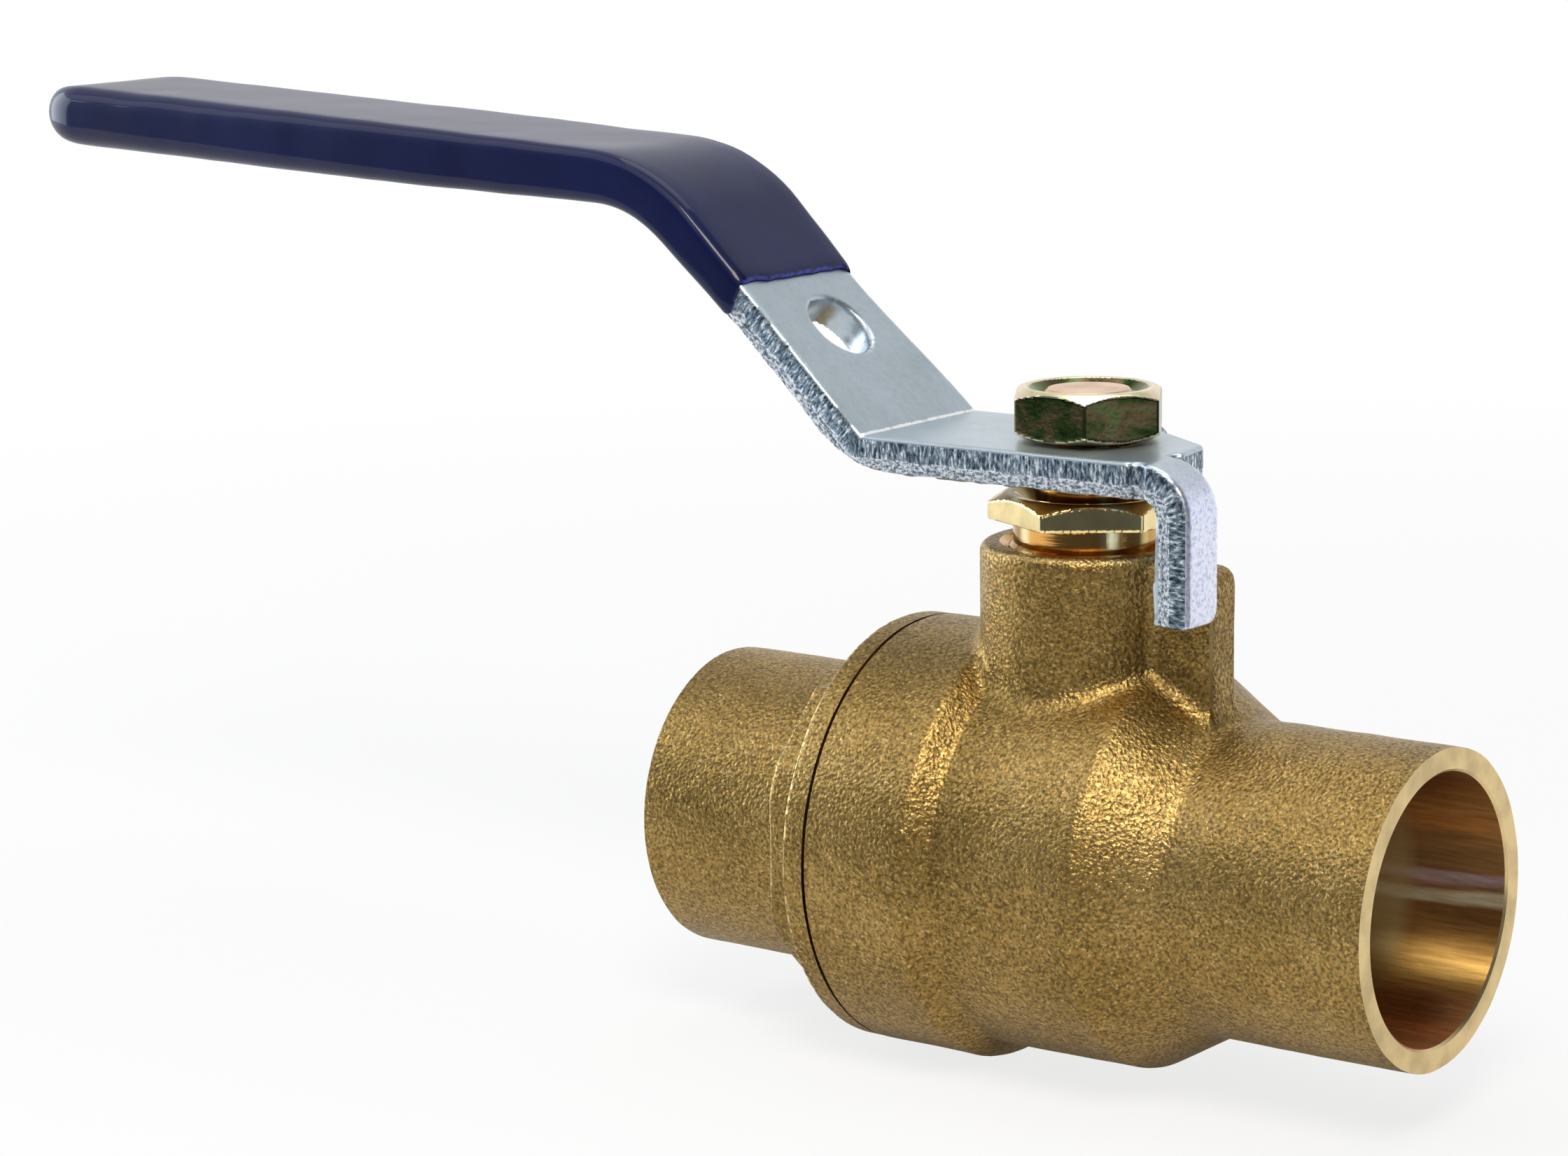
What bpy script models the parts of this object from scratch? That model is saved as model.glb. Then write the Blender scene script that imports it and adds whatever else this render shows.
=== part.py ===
"""Two-piece brass ball valve with solder cups, a bent lever and a dipped grip.

Frame: metres, +Z up.  The origin is the centre of the ball, where the pipe axis (X) meets the
stem axis (Z).  The lever is drawn open, in line with the pipe and pointing along -X.
"""
import math

import bmesh
import bpy
from mathutils import Matrix, Vector

MM = 0.001

# ---------------------------------------------------------------- driving dimensions
GAP = 0.3 * MM                  # clearance between faces that touch on the real valve

# waterway
CUP_BORE = 22.3 * MM            # solder cup, for a 22.2 mm tube
CUP_WALL = 1.95 * MM
CUP_DEPTH = 19.0 * MM
PORT_D = 19.0 * MM
BODY_END_X = 33.2 * MM          # mouth of the cup on the body
TAIL_END_X = -37.2 * MM         # mouth of the cup on the end piece

# ball and seats
BALL_D = 27.6 * MM
BALL_CLEARANCE = 0.6 * MM       # room round the ball in its chamber
SLOT_W = 5.0 * MM
SLOT_FLOOR = 0.9 * MM           # metal left between the slot and the port
SEAT_INSET = 0.6 * MM           # the seat's rim lies this far inside the ball's outside
SEAT_FACE_ANGLE = math.radians(59.1)  # its ball-shaped face ends here, seen from the pipe axis
SEAT_BACK_X = 12.4 * MM

# body outside
COLLAR_D = 36.9 * MM            # thick ring that holds the internal thread
COLLAR_FACE_X = -16.05 * MM
COLLAR_RIM_X = -6.4 * MM
BULGE_D = 33.7 * MM             # barrel over the ball
BULGE_END_X = 8.2 * MM
CUP_START_X = 16.6 * MM

# end piece
THREAD_D = 31.0 * MM
SHOULDER_X = -7.3 * MM          # bottom of the threaded bore in the body
FLANGE_W = 1.65 * MM
BOSS_AF = 31.5 * MM             # wrench octagon
BOSS_ROUND_D = 32.8 * MM        # its corners are turned down to this
BOSS_W = 3.75 * MM
SEAL_W = 0.9 * MM
SEAL_WALL = 0.8 * MM

# neck
NECK_D = 18.0 * MM
NECK_TOP = 26.6 * MM
NECK_ROUND = 0.8 * MM
NECK_FLARE = 2.2 * MM           # radius that blends the neck into the barrel

# stop lug
LUG_X = 14.1 * MM               # outer face
LUG_W = 3.85 * MM
LUG_TOP = 25.9 * MM
LUG_ROUND = 1.8 * MM
LUG_EDGE = 0.35 * MM

# stem, bottom to top
STEM_D = 9.0 * MM
TANG_W = 4.4 * MM
TANG_L = 9.6 * MM
COLLAR_STEM_D = 13.2 * MM
COLLAR_STEM_H = 2.2 * MM
WASHER_H = 1.0 * MM
STEM_WEB = 2.0 * MM             # metal of the body between washer and packing
PACKING_H = 1.6 * MM
THREAD_STEM_D = 7.8 * MM
STEM_FLATS = 6.2 * MM           # across the two flats that turn with the lever

# packing gland
GLAND_THREAD_D = 12.8 * MM
GLAND_AF = 14.5 * MM
GLAND_HEX_Z = 28.45 * MM
GLAND_HEX_H = 2.25 * MM
GLAND_TURN = math.radians(35.0)  # where its corners happen to stop

# lever, a bent strap
LEVER_T = 3.0 * MM
LEVER_W = 17.0 * MM            # at the head
HANDLE_W = 15.2 * MM            # under the grip
HANDLE_Y = -0.6 * MM            # middle of the handle, a little off the stem's axis
LEVER_TOP = 35.0 * MM           # top face of the flat round the stem
RAMP_X = -17.0 * MM             # where the top faces of flat and ramp would meet
RAMP_ANGLE = math.radians(43.0)
RAMP_RUN = 22.9 * MM            # along X, to where the ramp meets the handle
HANDLE_ANGLE = math.radians(2.5)
LEVER_TIP_X = -114.5 * MM
CREASE_R = 1.2 * MM             # the lower bend: a tight crease above
CREASE_BACK_R = 11.5 * MM       # and a wide sweep below
HANDLE_BEND_R = 14.8 * MM       # the upper bend, at the middle of the strap
HEAD_END_X = 10.6 * MM
HEAD_SKEW = 0.9 * MM            # the head's end is cut a little askew
HEAD_CUT_X = 1.0 * MM           # far corner of the head is cut away from here
HEAD_CUT_W = 6.0 * MM
HANG_HOLE_D = 6.4 * MM
HANG_HOLE_S = 11.3 * MM         # from the bend, measured up the ramp
TAB_X = 14.85 * MM              # outer face of the open-stop tab
TAB_W = 4.7 * MM
TAB_BOTTOM = 21.9 * MM
TAB_BEND = 1.4 * MM             # inner radius of the tab bend
TAB_ROUND = 1.3 * MM            # the tab's bottom corner nearest the lug
RELIEF_R = 0.8 * MM             # notches beside the tab

# vinyl grip
GRIP_WALL = 0.75 * MM           # above and below, where the dip line is
GRIP_TIP_WALL = 1.05 * MM       # and at the tip, where the vinyl has run
GRIP_SIDE_WALL = 0.5 * MM
GRIP_START_S = 16.5 * MM        # from the bend, measured up the ramp
DIP_SLANT = 0.25                # the dip line leans back by this much of its height
GRIP_ROUND = 2.1 * MM
GRIP_TIP_ROUND = 7.0 * MM

# lever nut
NUT_AF = 11.8 * MM
NUT_H = 4.2 * MM

# ---------------------------------------------------------------- sizes that follow
CUP_OD = CUP_BORE + 2 * CUP_WALL
BALL_R = BALL_D / 2
CHAMBER_R = BALL_R + BALL_CLEARANCE
BALL_FACE_R = BALL_R + GAP      # ball-shaped face of each seat
SEAT_INNER_R = PORT_D / 2 + 0.2 * MM
SEAT_OUTER_R = BALL_R - SEAT_INSET
SEAT_FRONT_X = BALL_FACE_R * math.cos(SEAT_FACE_ANGLE)
SEAT_LIP_X = math.sqrt(BALL_FACE_R ** 2 - SEAT_INNER_R ** 2)
POCKET_R = SEAT_OUTER_R + GAP
POCKET_X = SEAT_BACK_X + GAP
FLANGE_X = COLLAR_FACE_X - GAP
SLOT_Z = PORT_D / 2 + SLOT_FLOOR
TANG_Z = SLOT_Z + GAP
STEM_COLLAR_Z = BALL_R + 0.6 * MM
WASHER_Z = STEM_COLLAR_Z + COLLAR_STEM_H + GAP
STEM_SHOULDER_Z = WASHER_Z + WASHER_H + GAP
PACKING_FLOOR_Z = STEM_SHOULDER_Z + STEM_WEB
PACKING_R = GLAND_THREAD_D / 2 + GAP
LOWER_PACKING_Z = PACKING_FLOOR_Z + GAP
UPPER_PACKING_Z = LOWER_PACKING_Z + PACKING_H + GAP
GLAND_BOTTOM_Z = UPPER_PACKING_Z + PACKING_H + GAP
GLAND_TOP_Z = GLAND_HEX_Z + GLAND_HEX_H
LEVER_BOTTOM = LEVER_TOP - LEVER_T
STEM_STEP_Z = LEVER_BOTTOM - GAP
NUT_Z = LEVER_TOP + GAP
STEM_TOP = NUT_Z + NUT_H - 0.2 * MM
BORE_R = STEM_D / 2 + GAP
TAB_Y0 = -LEVER_W / 2
TAB_Y1 = TAB_Y0 + TAB_W
LUG_Y0 = TAB_Y1 + GAP           # the tab rests against the lug when the valve is open
LUG_Y1 = LUG_Y0 + LUG_W
CLOSE_TAB_X1 = -(LUG_Y1 + GAP)  # turned a quarter, this edge rests on the lug's other face
CLOSE_TAB_X0 = CLOSE_TAB_X1 - TAB_W
GRIP_T = LEVER_T + 2 * (GAP + GRIP_WALL)
GRIP_TIP_T = LEVER_T + 2 * (GAP + GRIP_TIP_WALL)
GRIP_W = HANDLE_W + 2 * (GAP + GRIP_SIDE_WALL)
RAMP_RISE = RAMP_RUN * math.tan(RAMP_ANGLE)

SEGMENTS = 48
SMALL_SEGMENTS = 36


# ---------------------------------------------------------------- collections and materials
def clear_scene():
    for old in list(bpy.data.objects):
        bpy.data.objects.remove(old, do_unlink=True)


def collection(name):
    made = bpy.data.collections.new(name)
    bpy.context.scene.collection.children.link(made)
    return made


def material(name, colour, roughness, metallic):
    made = bpy.data.materials.new(name)
    made.use_nodes = True
    shader = made.node_tree.nodes["Principled BSDF"]
    shader.inputs["Base Color"].default_value = (*colour, 1.0)
    shader.inputs["Roughness"].default_value = roughness
    shader.inputs["Metallic"].default_value = metallic
    return made


clear_scene()
PARTS = collection("seacock_valve")
CUTTERS = collection("cutters")

BLASTED_BRASS = material("blasted_brass", (0.42, 0.30, 0.12), 0.45, 1.0)
MACHINED_BRASS = material("machined_brass", (0.72, 0.55, 0.20), 0.22, 1.0)
CHROME = material("chromed_brass", (0.75, 0.76, 0.78), 0.08, 1.0)
PTFE = material("ptfe", (0.88, 0.88, 0.85), 0.45, 0.0)
ZINC = material("zinc_plated_steel", (0.52, 0.56, 0.60), 0.35, 1.0)
YELLOW_ZINC = material("yellow_zinc", (0.50, 0.44, 0.26), 0.30, 1.0)
VINYL = material("blue_vinyl", (0.012, 0.008, 0.09), 0.40, 0.0)


# ---------------------------------------------------------------- modelling helpers
def add(name, mesh, look):
    """Put a part in the parts collection with its material."""
    made = bpy.data.objects.new(name, mesh)
    PARTS.objects.link(made)
    mesh.materials.clear()
    mesh.materials.append(look)
    return made


def tool(name, mesh):
    """Put a cutter or a joined shape in the cutters collection, out of sight."""
    made = bpy.data.objects.new(name, mesh)
    CUTTERS.objects.link(made)
    made.hide_render = True
    made.display_type = "WIRE"
    return made


def arc(cx, cz, radius, start, end, steps):
    """Points of an arc in the profile plane, angles in degrees."""
    turn = [math.radians(start + (end - start) * i / steps) for i in range(steps + 1)]
    return [(cx + radius * math.cos(a), cz + radius * math.sin(a)) for a in turn]


def profile_mesh(name, points, closed):
    """Edges through (radius, height) points, ready for a Screw modifier."""
    mesh = bpy.data.meshes.new(name)
    count = len(points)
    edges = [(i, i + 1) for i in range(count - 1)]
    if closed:
        edges.append((count - 1, 0))
    mesh.from_pydata([(r, 0.0, h) for r, h in points], edges, [])
    return mesh


def spin(made, segments):
    """Turn a profile about its own Z axis."""
    screw = made.modifiers.new("turn", "SCREW")
    screw.axis = "Z"
    screw.angle = math.tau
    screw.steps = segments
    screw.render_steps = segments
    screw.use_merge_vertices = True
    screw.merge_threshold = 0.00001
    screw.use_smooth_shade = True
    return made


def along_x(made):
    """Lay a turned shape down, so that its height runs along +X."""
    made.rotation_euler = (0.0, math.pi / 2, 0.0)
    return made


def outline_mesh(name, points, half_depth):
    """A flat outline, drawn in XY and thickened equally both ways, as a mesh."""
    curve = bpy.data.curves.new(name, "CURVE")
    curve.dimensions = "2D"
    curve.fill_mode = "BOTH"
    curve.extrude = half_depth
    spline = curve.splines.new("POLY")
    spline.points.add(len(points) - 1)
    for point, (x, y) in zip(spline.points, points):
        point.co = (x, y, 0.0, 1.0)
    spline.use_cyclic_u = True
    holder = bpy.data.objects.new(name, curve)
    bpy.context.scene.collection.objects.link(holder)
    graph = bpy.context.evaluated_depsgraph_get()
    mesh = bpy.data.meshes.new_from_object(holder.evaluated_get(graph))
    bpy.data.objects.remove(holder, do_unlink=True)
    bpy.data.curves.remove(curve)
    weld = bmesh.new()
    weld.from_mesh(mesh)
    bmesh.ops.remove_doubles(weld, verts=weld.verts, dist=0.00001)
    bmesh.ops.recalc_face_normals(weld, faces=weld.faces)
    weld.to_mesh(mesh)
    weld.free()
    return mesh


def side_view(mesh):
    """Stand an outline up: its Y becomes world Z, its thickness runs along Y."""
    for vertex in mesh.vertices:
        x, y, z = vertex.co
        vertex.co = (round(x, 7), round(-z, 7), round(y, 7))
    mesh.update()
    return mesh


def end_view(mesh, x_place):
    """Stand an outline up facing the pipe's end: its X becomes world Y, its middle at x_place."""
    for vertex in mesh.vertices:
        x, y, z = vertex.co
        vertex.co = (round(x_place + z, 7), round(x, 7), round(y, 7))
    mesh.update()
    return mesh


def prism_mesh(name, sides, across_flats, bottom, top, turn=0.0):
    """A regular prism about Z, its first corner at the angle turn from +X."""
    mesh = bpy.data.meshes.new(name)
    shape = bmesh.new()
    radius = across_flats / 2 / math.cos(math.pi / sides)
    bmesh.ops.create_cone(shape, cap_ends=True, segments=sides, radius1=radius,
                          radius2=radius, depth=top - bottom)
    corner = max(shape.verts, key=lambda v: v.co.x)
    first = math.atan2(corner.co.y, corner.co.x)
    bmesh.ops.rotate(shape, verts=shape.verts, matrix=Matrix.Rotation(turn - first, 3, "Z"))
    bmesh.ops.translate(shape, verts=shape.verts, vec=(0.0, 0.0, (top + bottom) / 2))
    shape.to_mesh(mesh)
    shape.free()
    return mesh


def block_mesh(name, low, high):
    """A box between two corners."""
    mesh = bpy.data.meshes.new(name)
    shape = bmesh.new()
    bmesh.ops.create_cube(shape, size=1.0)
    size = [b - a for a, b in zip(low, high)]
    middle = [(a + b) / 2 for a, b in zip(low, high)]
    bmesh.ops.scale(shape, verts=shape.verts, vec=size)
    bmesh.ops.translate(shape, verts=shape.verts, vec=middle)
    shape.to_mesh(mesh)
    shape.free()
    return mesh


def loft_mesh(name, rings):
    """Skin a row of closed rings that have the same number of points, and cap both ends."""
    mesh = bpy.data.meshes.new(name)
    shape = bmesh.new()
    rows = [[shape.verts.new(point) for point in ring] for ring in rings]
    for upper, lower in zip(rows, rows[1:]):
        for s in range(len(upper)):
            t = (s + 1) % len(upper)
            shape.faces.new((upper[s], lower[s], lower[t], upper[t]))
    shape.faces.new(rows[0])
    shape.faces.new(rows[-1])
    bmesh.ops.recalc_face_normals(shape, faces=shape.faces)
    shape.to_mesh(mesh)
    shape.free()
    return mesh


def combine(made, other, operation):
    step = made.modifiers.new(operation.lower(), "BOOLEAN")
    step.operation = operation
    step.solver = "EXACT"
    step.object = other
    return made


def crisp(made):
    """Smooth the round faces and keep the real edges."""
    graph = bpy.context.evaluated_depsgraph_get()
    mesh = bpy.data.meshes.new_from_object(made.evaluated_get(graph))
    made.modifiers.clear()
    looks = list(made.data.materials)
    made.data = mesh
    mesh.name = made.name
    mesh.materials.clear()
    for look in looks:
        mesh.materials.append(look)
    mesh.shade_smooth()
    mesh.set_sharp_from_angle(angle=math.radians(35.0))
    return made


def rounded(corners, steps=5):
    """An outline through (x, y, radius) corners, each turned through an arc of its radius."""
    points = []
    count = len(corners)
    for i, (x, y, radius) in enumerate(corners):
        here = Vector((x, y))
        before = (Vector(corners[i - 1][:2]) - here).normalized()
        after = (Vector(corners[(i + 1) % count][:2]) - here).normalized()
        half = before.angle(after) / 2
        if radius <= 0.0 or half > math.radians(89.5):
            points.append((x, y))
            continue
        centre = here + (before + after).normalized() * radius / math.sin(half)
        first = here + before * radius / math.tan(half) - centre
        last = here + after * radius / math.tan(half) - centre
        sweep = first.angle_signed(last)
        for k in range(steps + 1):
            spoke = first.copy()
            spoke.rotate(Matrix.Rotation(-sweep * k / steps, 2))
            points.append(tuple(centre + spoke))
    return points


# ---------------------------------------------------------------- body
def body_radius(x):
    """Outside radius of the body at a place along the pipe."""
    collar = COLLAR_D / 2
    bulge = BULGE_D / 2
    cup = CUP_OD / 2
    step = (collar - bulge) / 2
    if x <= COLLAR_RIM_X - step:
        return collar
    if x <= COLLAR_RIM_X:
        reach = x - (COLLAR_RIM_X - step)
        return collar - step + math.sqrt(max(step ** 2 - reach ** 2, 0.0))
    if x <= COLLAR_RIM_X + step:
        reach = COLLAR_RIM_X + step - x
        return bulge + step - math.sqrt(max(step ** 2 - reach ** 2, 0.0))
    if x <= BULGE_END_X:
        return bulge
    if x >= CUP_START_X:
        return cup
    t = (x - BULGE_END_X) / (CUP_START_X - BULGE_END_X)
    return cup + (bulge - cup) * (1 + math.cos(math.pi * t)) / 2


def body_shell():
    """Collar, barrel and cup, one turned shape about the pipe."""
    edge = 0.3 * MM
    step = (COLLAR_D - BULGE_D) / 4
    stations = [CUP_START_X + (BULGE_END_X - CUP_START_X) * k / 10 for k in range(11)]
    stations += [COLLAR_RIM_X + step * math.cos(math.radians(30 * k)) for k in range(7)]
    outer = [(0.0, BODY_END_X), (CUP_OD / 2 - edge, BODY_END_X), (CUP_OD / 2, BODY_END_X - edge)]
    outer += [(body_radius(x), x) for x in stations]
    outer += [(COLLAR_D / 2, COLLAR_FACE_X + edge), (COLLAR_D / 2 - edge, COLLAR_FACE_X)]
    outer += [(0.0, COLLAR_FACE_X)]
    return profile_mesh("body", outer, closed=False)


def blend_radius(x):
    """The outside radius with the collar's rim eased, for the fillet to roll along."""
    spread = 3.2 * MM
    places = [x + spread * (k - 3) / 3 for k in range(7)]
    return sum(body_radius(place) for place in places) / len(places)


def neck_loft():
    """The neck, blended into the barrel by a fillet that rolls round the joint.

    The fillet is the path of a ball of radius NECK_FLARE that touches both the upright neck and
    the barrel, so the height where it meets each of them changes all the way round.
    """
    radius = NECK_D / 2
    reach = radius + NECK_FLARE
    fillet_steps = 5
    under = 1.2 * MM
    sections = []
    for r, z in arc(radius - NECK_ROUND, NECK_TOP - NECK_ROUND, NECK_ROUND, 90, 0, 4):
        sections.append([(r, z)] * SEGMENTS)
    for k in range(fillet_steps + 1):
        section = []
        for s in range(SEGMENTS):
            angle = math.tau * s / SEGMENTS
            centre_x = reach * math.cos(angle)
            centre_y = reach * math.sin(angle)
            barrel = blend_radius(centre_x)
            centre_z = math.sqrt((barrel + NECK_FLARE) ** 2 - centre_y ** 2)
            share = barrel / (barrel + NECK_FLARE)
            foot = Vector((math.hypot(centre_x, centre_y * share) - reach,
                           centre_z * share - centre_z))
            start = Vector((-NECK_FLARE, 0.0))
            turn = start.angle(foot) * k / fillet_steps
            spoke = start.copy()
            spoke.rotate(Matrix.Rotation(turn, 2))
            section.append((reach + spoke.x, centre_z + spoke.y))
        sections.append(section)
    sections.append([(r, z - under) for r, z in sections[-1]])
    sections.append([(radius, BULGE_D / 4)] * SEGMENTS)
    rings = []
    for section in sections:
        ring = []
        for s, (r, z) in enumerate(section):
            angle = math.tau * s / SEGMENTS
            ring.append((r * math.cos(angle), r * math.sin(angle), z))
        rings.append(ring)
    return loft_mesh("neck", rings)


def stop_lug():
    """The upright lug on the cup side of the neck, which both lever tabs rest on."""
    inside_x = NECK_D / 2 - 2.0 * MM
    root_z = BULGE_D / 2 - 6.0 * MM
    outline = rounded([(inside_x, root_z, 0.0), (LUG_X, root_z, 0.0),
                       (LUG_X, LUG_TOP, LUG_ROUND), (inside_x, LUG_TOP, 0.0)])
    mesh = side_view(outline_mesh("stop_lug", outline, LUG_W / 2))
    mesh.transform(Matrix.Translation((0.0, (LUG_Y0 + LUG_Y1) / 2, 0.0)))
    made = tool("stop_lug", mesh)
    edge = made.modifiers.new("edge", "BEVEL")
    edge.width = LUG_EDGE
    edge.segments = 2
    edge.limit_method = "ANGLE"
    edge.angle_limit = math.radians(50.0)
    return made


def body_bore():
    """The waterway: cup, port, seat pocket, ball chamber and threaded bore."""
    lead = 0.4 * MM
    over = 1.0 * MM
    cup_floor = BODY_END_X - CUP_DEPTH
    points = [(0.0, BODY_END_X + over), (CUP_BORE / 2 + lead + over, BODY_END_X + over),
              (CUP_BORE / 2, BODY_END_X - lead), (CUP_BORE / 2, cup_floor),
              (PORT_D / 2, cup_floor), (PORT_D / 2, POCKET_X), (POCKET_R, POCKET_X),
              (POCKET_R, SEAT_FRONT_X - GAP), (CHAMBER_R, SEAT_FRONT_X - GAP),
              (CHAMBER_R, SHOULDER_X), (THREAD_D / 2 + GAP, SHOULDER_X),
              (THREAD_D / 2 + GAP, COLLAR_FACE_X - over), (0.0, COLLAR_FACE_X - over)]
    return along_x(spin(tool("body_bore", profile_mesh("body_bore", points, False)), SEGMENTS))


def stem_bore():
    """Stem collar pocket, stem bore, packing chamber and the chamfer at the neck's mouth."""
    over = 1.0 * MM
    chamfer = 0.7 * MM
    pocket = COLLAR_STEM_D / 2 + GAP
    points = [(0.0, NECK_TOP + over), (PACKING_R + chamfer + over, NECK_TOP + over),
              (PACKING_R, NECK_TOP - chamfer), (PACKING_R, PACKING_FLOOR_Z),
              (BORE_R, PACKING_FLOOR_Z), (BORE_R, STEM_SHOULDER_Z), (pocket, STEM_SHOULDER_Z),
              (pocket, SLOT_Z), (0.0, SLOT_Z)]
    return spin(tool("stem_bore", profile_mesh("stem_bore", points, False)), SMALL_SEGMENTS)


def make_body():
    made = along_x(spin(add("body", body_shell(), BLASTED_BRASS), SEGMENTS))
    combine(made, tool("neck", neck_loft()), "UNION")
    combine(made, stop_lug(), "UNION")
    combine(made, body_bore(), "DIFFERENCE")
    combine(made, stem_bore(), "DIFFERENCE")
    return crisp(made)


# ---------------------------------------------------------------- end piece
def make_end_piece():
    """The cup on the lever side: threaded spigot, flange, wrench octagon and solder cup."""
    edge = 0.3 * MM
    blend = 0.8 * MM
    lead = 0.4 * MM
    over = 1.0 * MM
    spigot_x = SHOULDER_X - SEAL_W - 2 * GAP
    flange_back = FLANGE_X - FLANGE_W
    cup_floor = TAIL_END_X + CUP_DEPTH
    outer = [(0.0, spigot_x), (THREAD_D / 2 - edge, spigot_x), (THREAD_D / 2, spigot_x - edge),
             (THREAD_D / 2, FLANGE_X), (COLLAR_D / 2 - edge, FLANGE_X),
             (COLLAR_D / 2, FLANGE_X - edge), (COLLAR_D / 2, flange_back + edge),
             (COLLAR_D / 2 - edge, flange_back), (CUP_OD / 2 + blend, flange_back),
             (CUP_OD / 2, flange_back - blend), (CUP_OD / 2, TAIL_END_X + edge),
             (CUP_OD / 2 - edge, TAIL_END_X), (0.0, TAIL_END_X)]
    made = add("end_piece", profile_mesh("end_piece", outer, False), BLASTED_BRASS)
    along_x(spin(made, SEGMENTS))

    boss_top = flange_back + 0.5 * MM
    boss_bottom = flange_back - BOSS_W
    octagon = along_x(tool("wrench_octagon", prism_mesh("wrench_octagon", 8, BOSS_AF,
                                                        boss_bottom, boss_top,
                                                        math.pi / 8)))
    turned = [(0.0, boss_top + over), (BOSS_ROUND_D / 2, boss_top + over),
              (BOSS_ROUND_D / 2, boss_bottom + edge), (BOSS_ROUND_D / 2 - edge, boss_bottom),
              (BOSS_ROUND_D / 2 - edge, boss_bottom - over), (0.0, boss_bottom - over)]
    limit = along_x(spin(tool("octagon_limit", profile_mesh("limit", turned, False)), SEGMENTS))
    combine(octagon, limit, "INTERSECT")
    combine(made, octagon, "UNION")

    bore = [(0.0, spigot_x + over), (POCKET_R, spigot_x + over), (POCKET_R, -POCKET_X),
            (PORT_D / 2, -POCKET_X), (PORT_D / 2, cup_floor), (CUP_BORE / 2, cup_floor),
            (CUP_BORE / 2, TAIL_END_X + lead), (CUP_BORE / 2 + lead + over, TAIL_END_X - over),
            (0.0, TAIL_END_X - over)]
    cutter = along_x(spin(tool("end_bore", profile_mesh("end_bore", bore, False)), SEGMENTS))
    combine(made, cutter, "DIFFERENCE")
    return crisp(made)


def make_body_seal():
    """PTFE ring squeezed between the end piece's spigot and the shoulder in the body."""
    outer = THREAD_D / 2 - GAP
    inner = outer - SEAL_WALL
    low = SHOULDER_X - GAP - SEAL_W
    high = SHOULDER_X - GAP
    ring = [(outer, high), (outer, low), (inner, low), (inner, high)]
    made = along_x(spin(add("body_seal", profile_mesh("body_seal", ring, True), PTFE), SEGMENTS))
    return crisp(made)


# ---------------------------------------------------------------- ball, seats and stem
def make_ball():
    half = math.degrees(math.acos(PORT_D / 2 / BALL_R))
    skin = arc(0.0, 0.0, BALL_R, half, -half, 12)
    made = along_x(spin(add("ball", profile_mesh("ball", skin, True), CHROME), SEGMENTS))
    slot = tool("stem_slot", block_mesh("stem_slot", (-SLOT_W / 2, -BALL_D, SLOT_Z),
                                        (SLOT_W / 2, BALL_D, BALL_D)))
    combine(made, slot, "DIFFERENCE")
    return crisp(made)


def make_seat(name, side):
    """A seat ring; side is +1 towards the body's cup, -1 towards the end piece."""
    start = 90 - math.degrees(SEAT_FACE_ANGLE)
    end = math.degrees(math.atan2(SEAT_LIP_X, SEAT_INNER_R))
    face = arc(0.0, 0.0, BALL_FACE_R, start, end, 4)
    ring = [(SEAT_OUTER_R, SEAT_BACK_X), (SEAT_OUTER_R, SEAT_FRONT_X)]
    ring += face + [(SEAT_INNER_R, SEAT_BACK_X)]
    made = add(name, profile_mesh(name, ring, True), PTFE)
    spin(made, SEGMENTS)
    made.rotation_euler = (0.0, side * math.pi / 2, 0.0)
    return crisp(made)


def make_stem():
    """Tang, collar, round shank, the flats that drive the lever, and the threaded end."""
    edge = 0.3 * MM
    tip = 0.6 * MM
    shank = STEM_D / 2
    thread = THREAD_STEM_D / 2
    collar = COLLAR_STEM_D / 2
    collar_top = STEM_COLLAR_Z + COLLAR_STEM_H
    outline = [(0.0, STEM_TOP), (thread - tip, STEM_TOP), (thread, STEM_TOP - tip),
               (thread, STEM_STEP_Z), (shank - edge, STEM_STEP_Z), (shank, STEM_STEP_Z - edge),
               (shank, collar_top), (collar - edge, collar_top), (collar, collar_top - edge),
               (collar, STEM_COLLAR_Z), (0.0, STEM_COLLAR_Z)]
    made = spin(add("stem", profile_mesh("stem", outline, False), MACHINED_BRASS), SMALL_SEGMENTS)
    end = TANG_L / 2 - TANG_W / 2
    tang = rounded([(-TANG_W / 2, -end - TANG_W / 2, TANG_W / 3),
                    (TANG_W / 2, -end - TANG_W / 2, TANG_W / 3),
                    (TANG_W / 2, end + TANG_W / 2, TANG_W / 3),
                    (-TANG_W / 2, end + TANG_W / 2, TANG_W / 3)])
    height = STEM_COLLAR_Z + 0.8 * MM - TANG_Z
    blade_mesh = outline_mesh("tang", tang, height / 2)
    blade_mesh.transform(Matrix.Translation((0.0, 0.0, TANG_Z + height / 2)))
    combine(made, tool("tang", blade_mesh), "UNION")
    for side in (-1, 1):
        near = side * STEM_FLATS / 2
        far = side * STEM_D
        flat = block_mesh("flat", (-STEM_D, min(near, far), STEM_STEP_Z),
                          (STEM_D, max(near, far), NUT_Z))
        combine(made, tool("stem_flat", flat), "DIFFERENCE")
    return crisp(made)


def make_ring(name, outer, inner, low, high, look):
    """A plain ring about the stem."""
    points = [(outer, high), (outer, low), (inner, low), (inner, high)]
    made = spin(add(name, profile_mesh(name, points, True), look), SMALL_SEGMENTS)
    return crisp(made)


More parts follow.
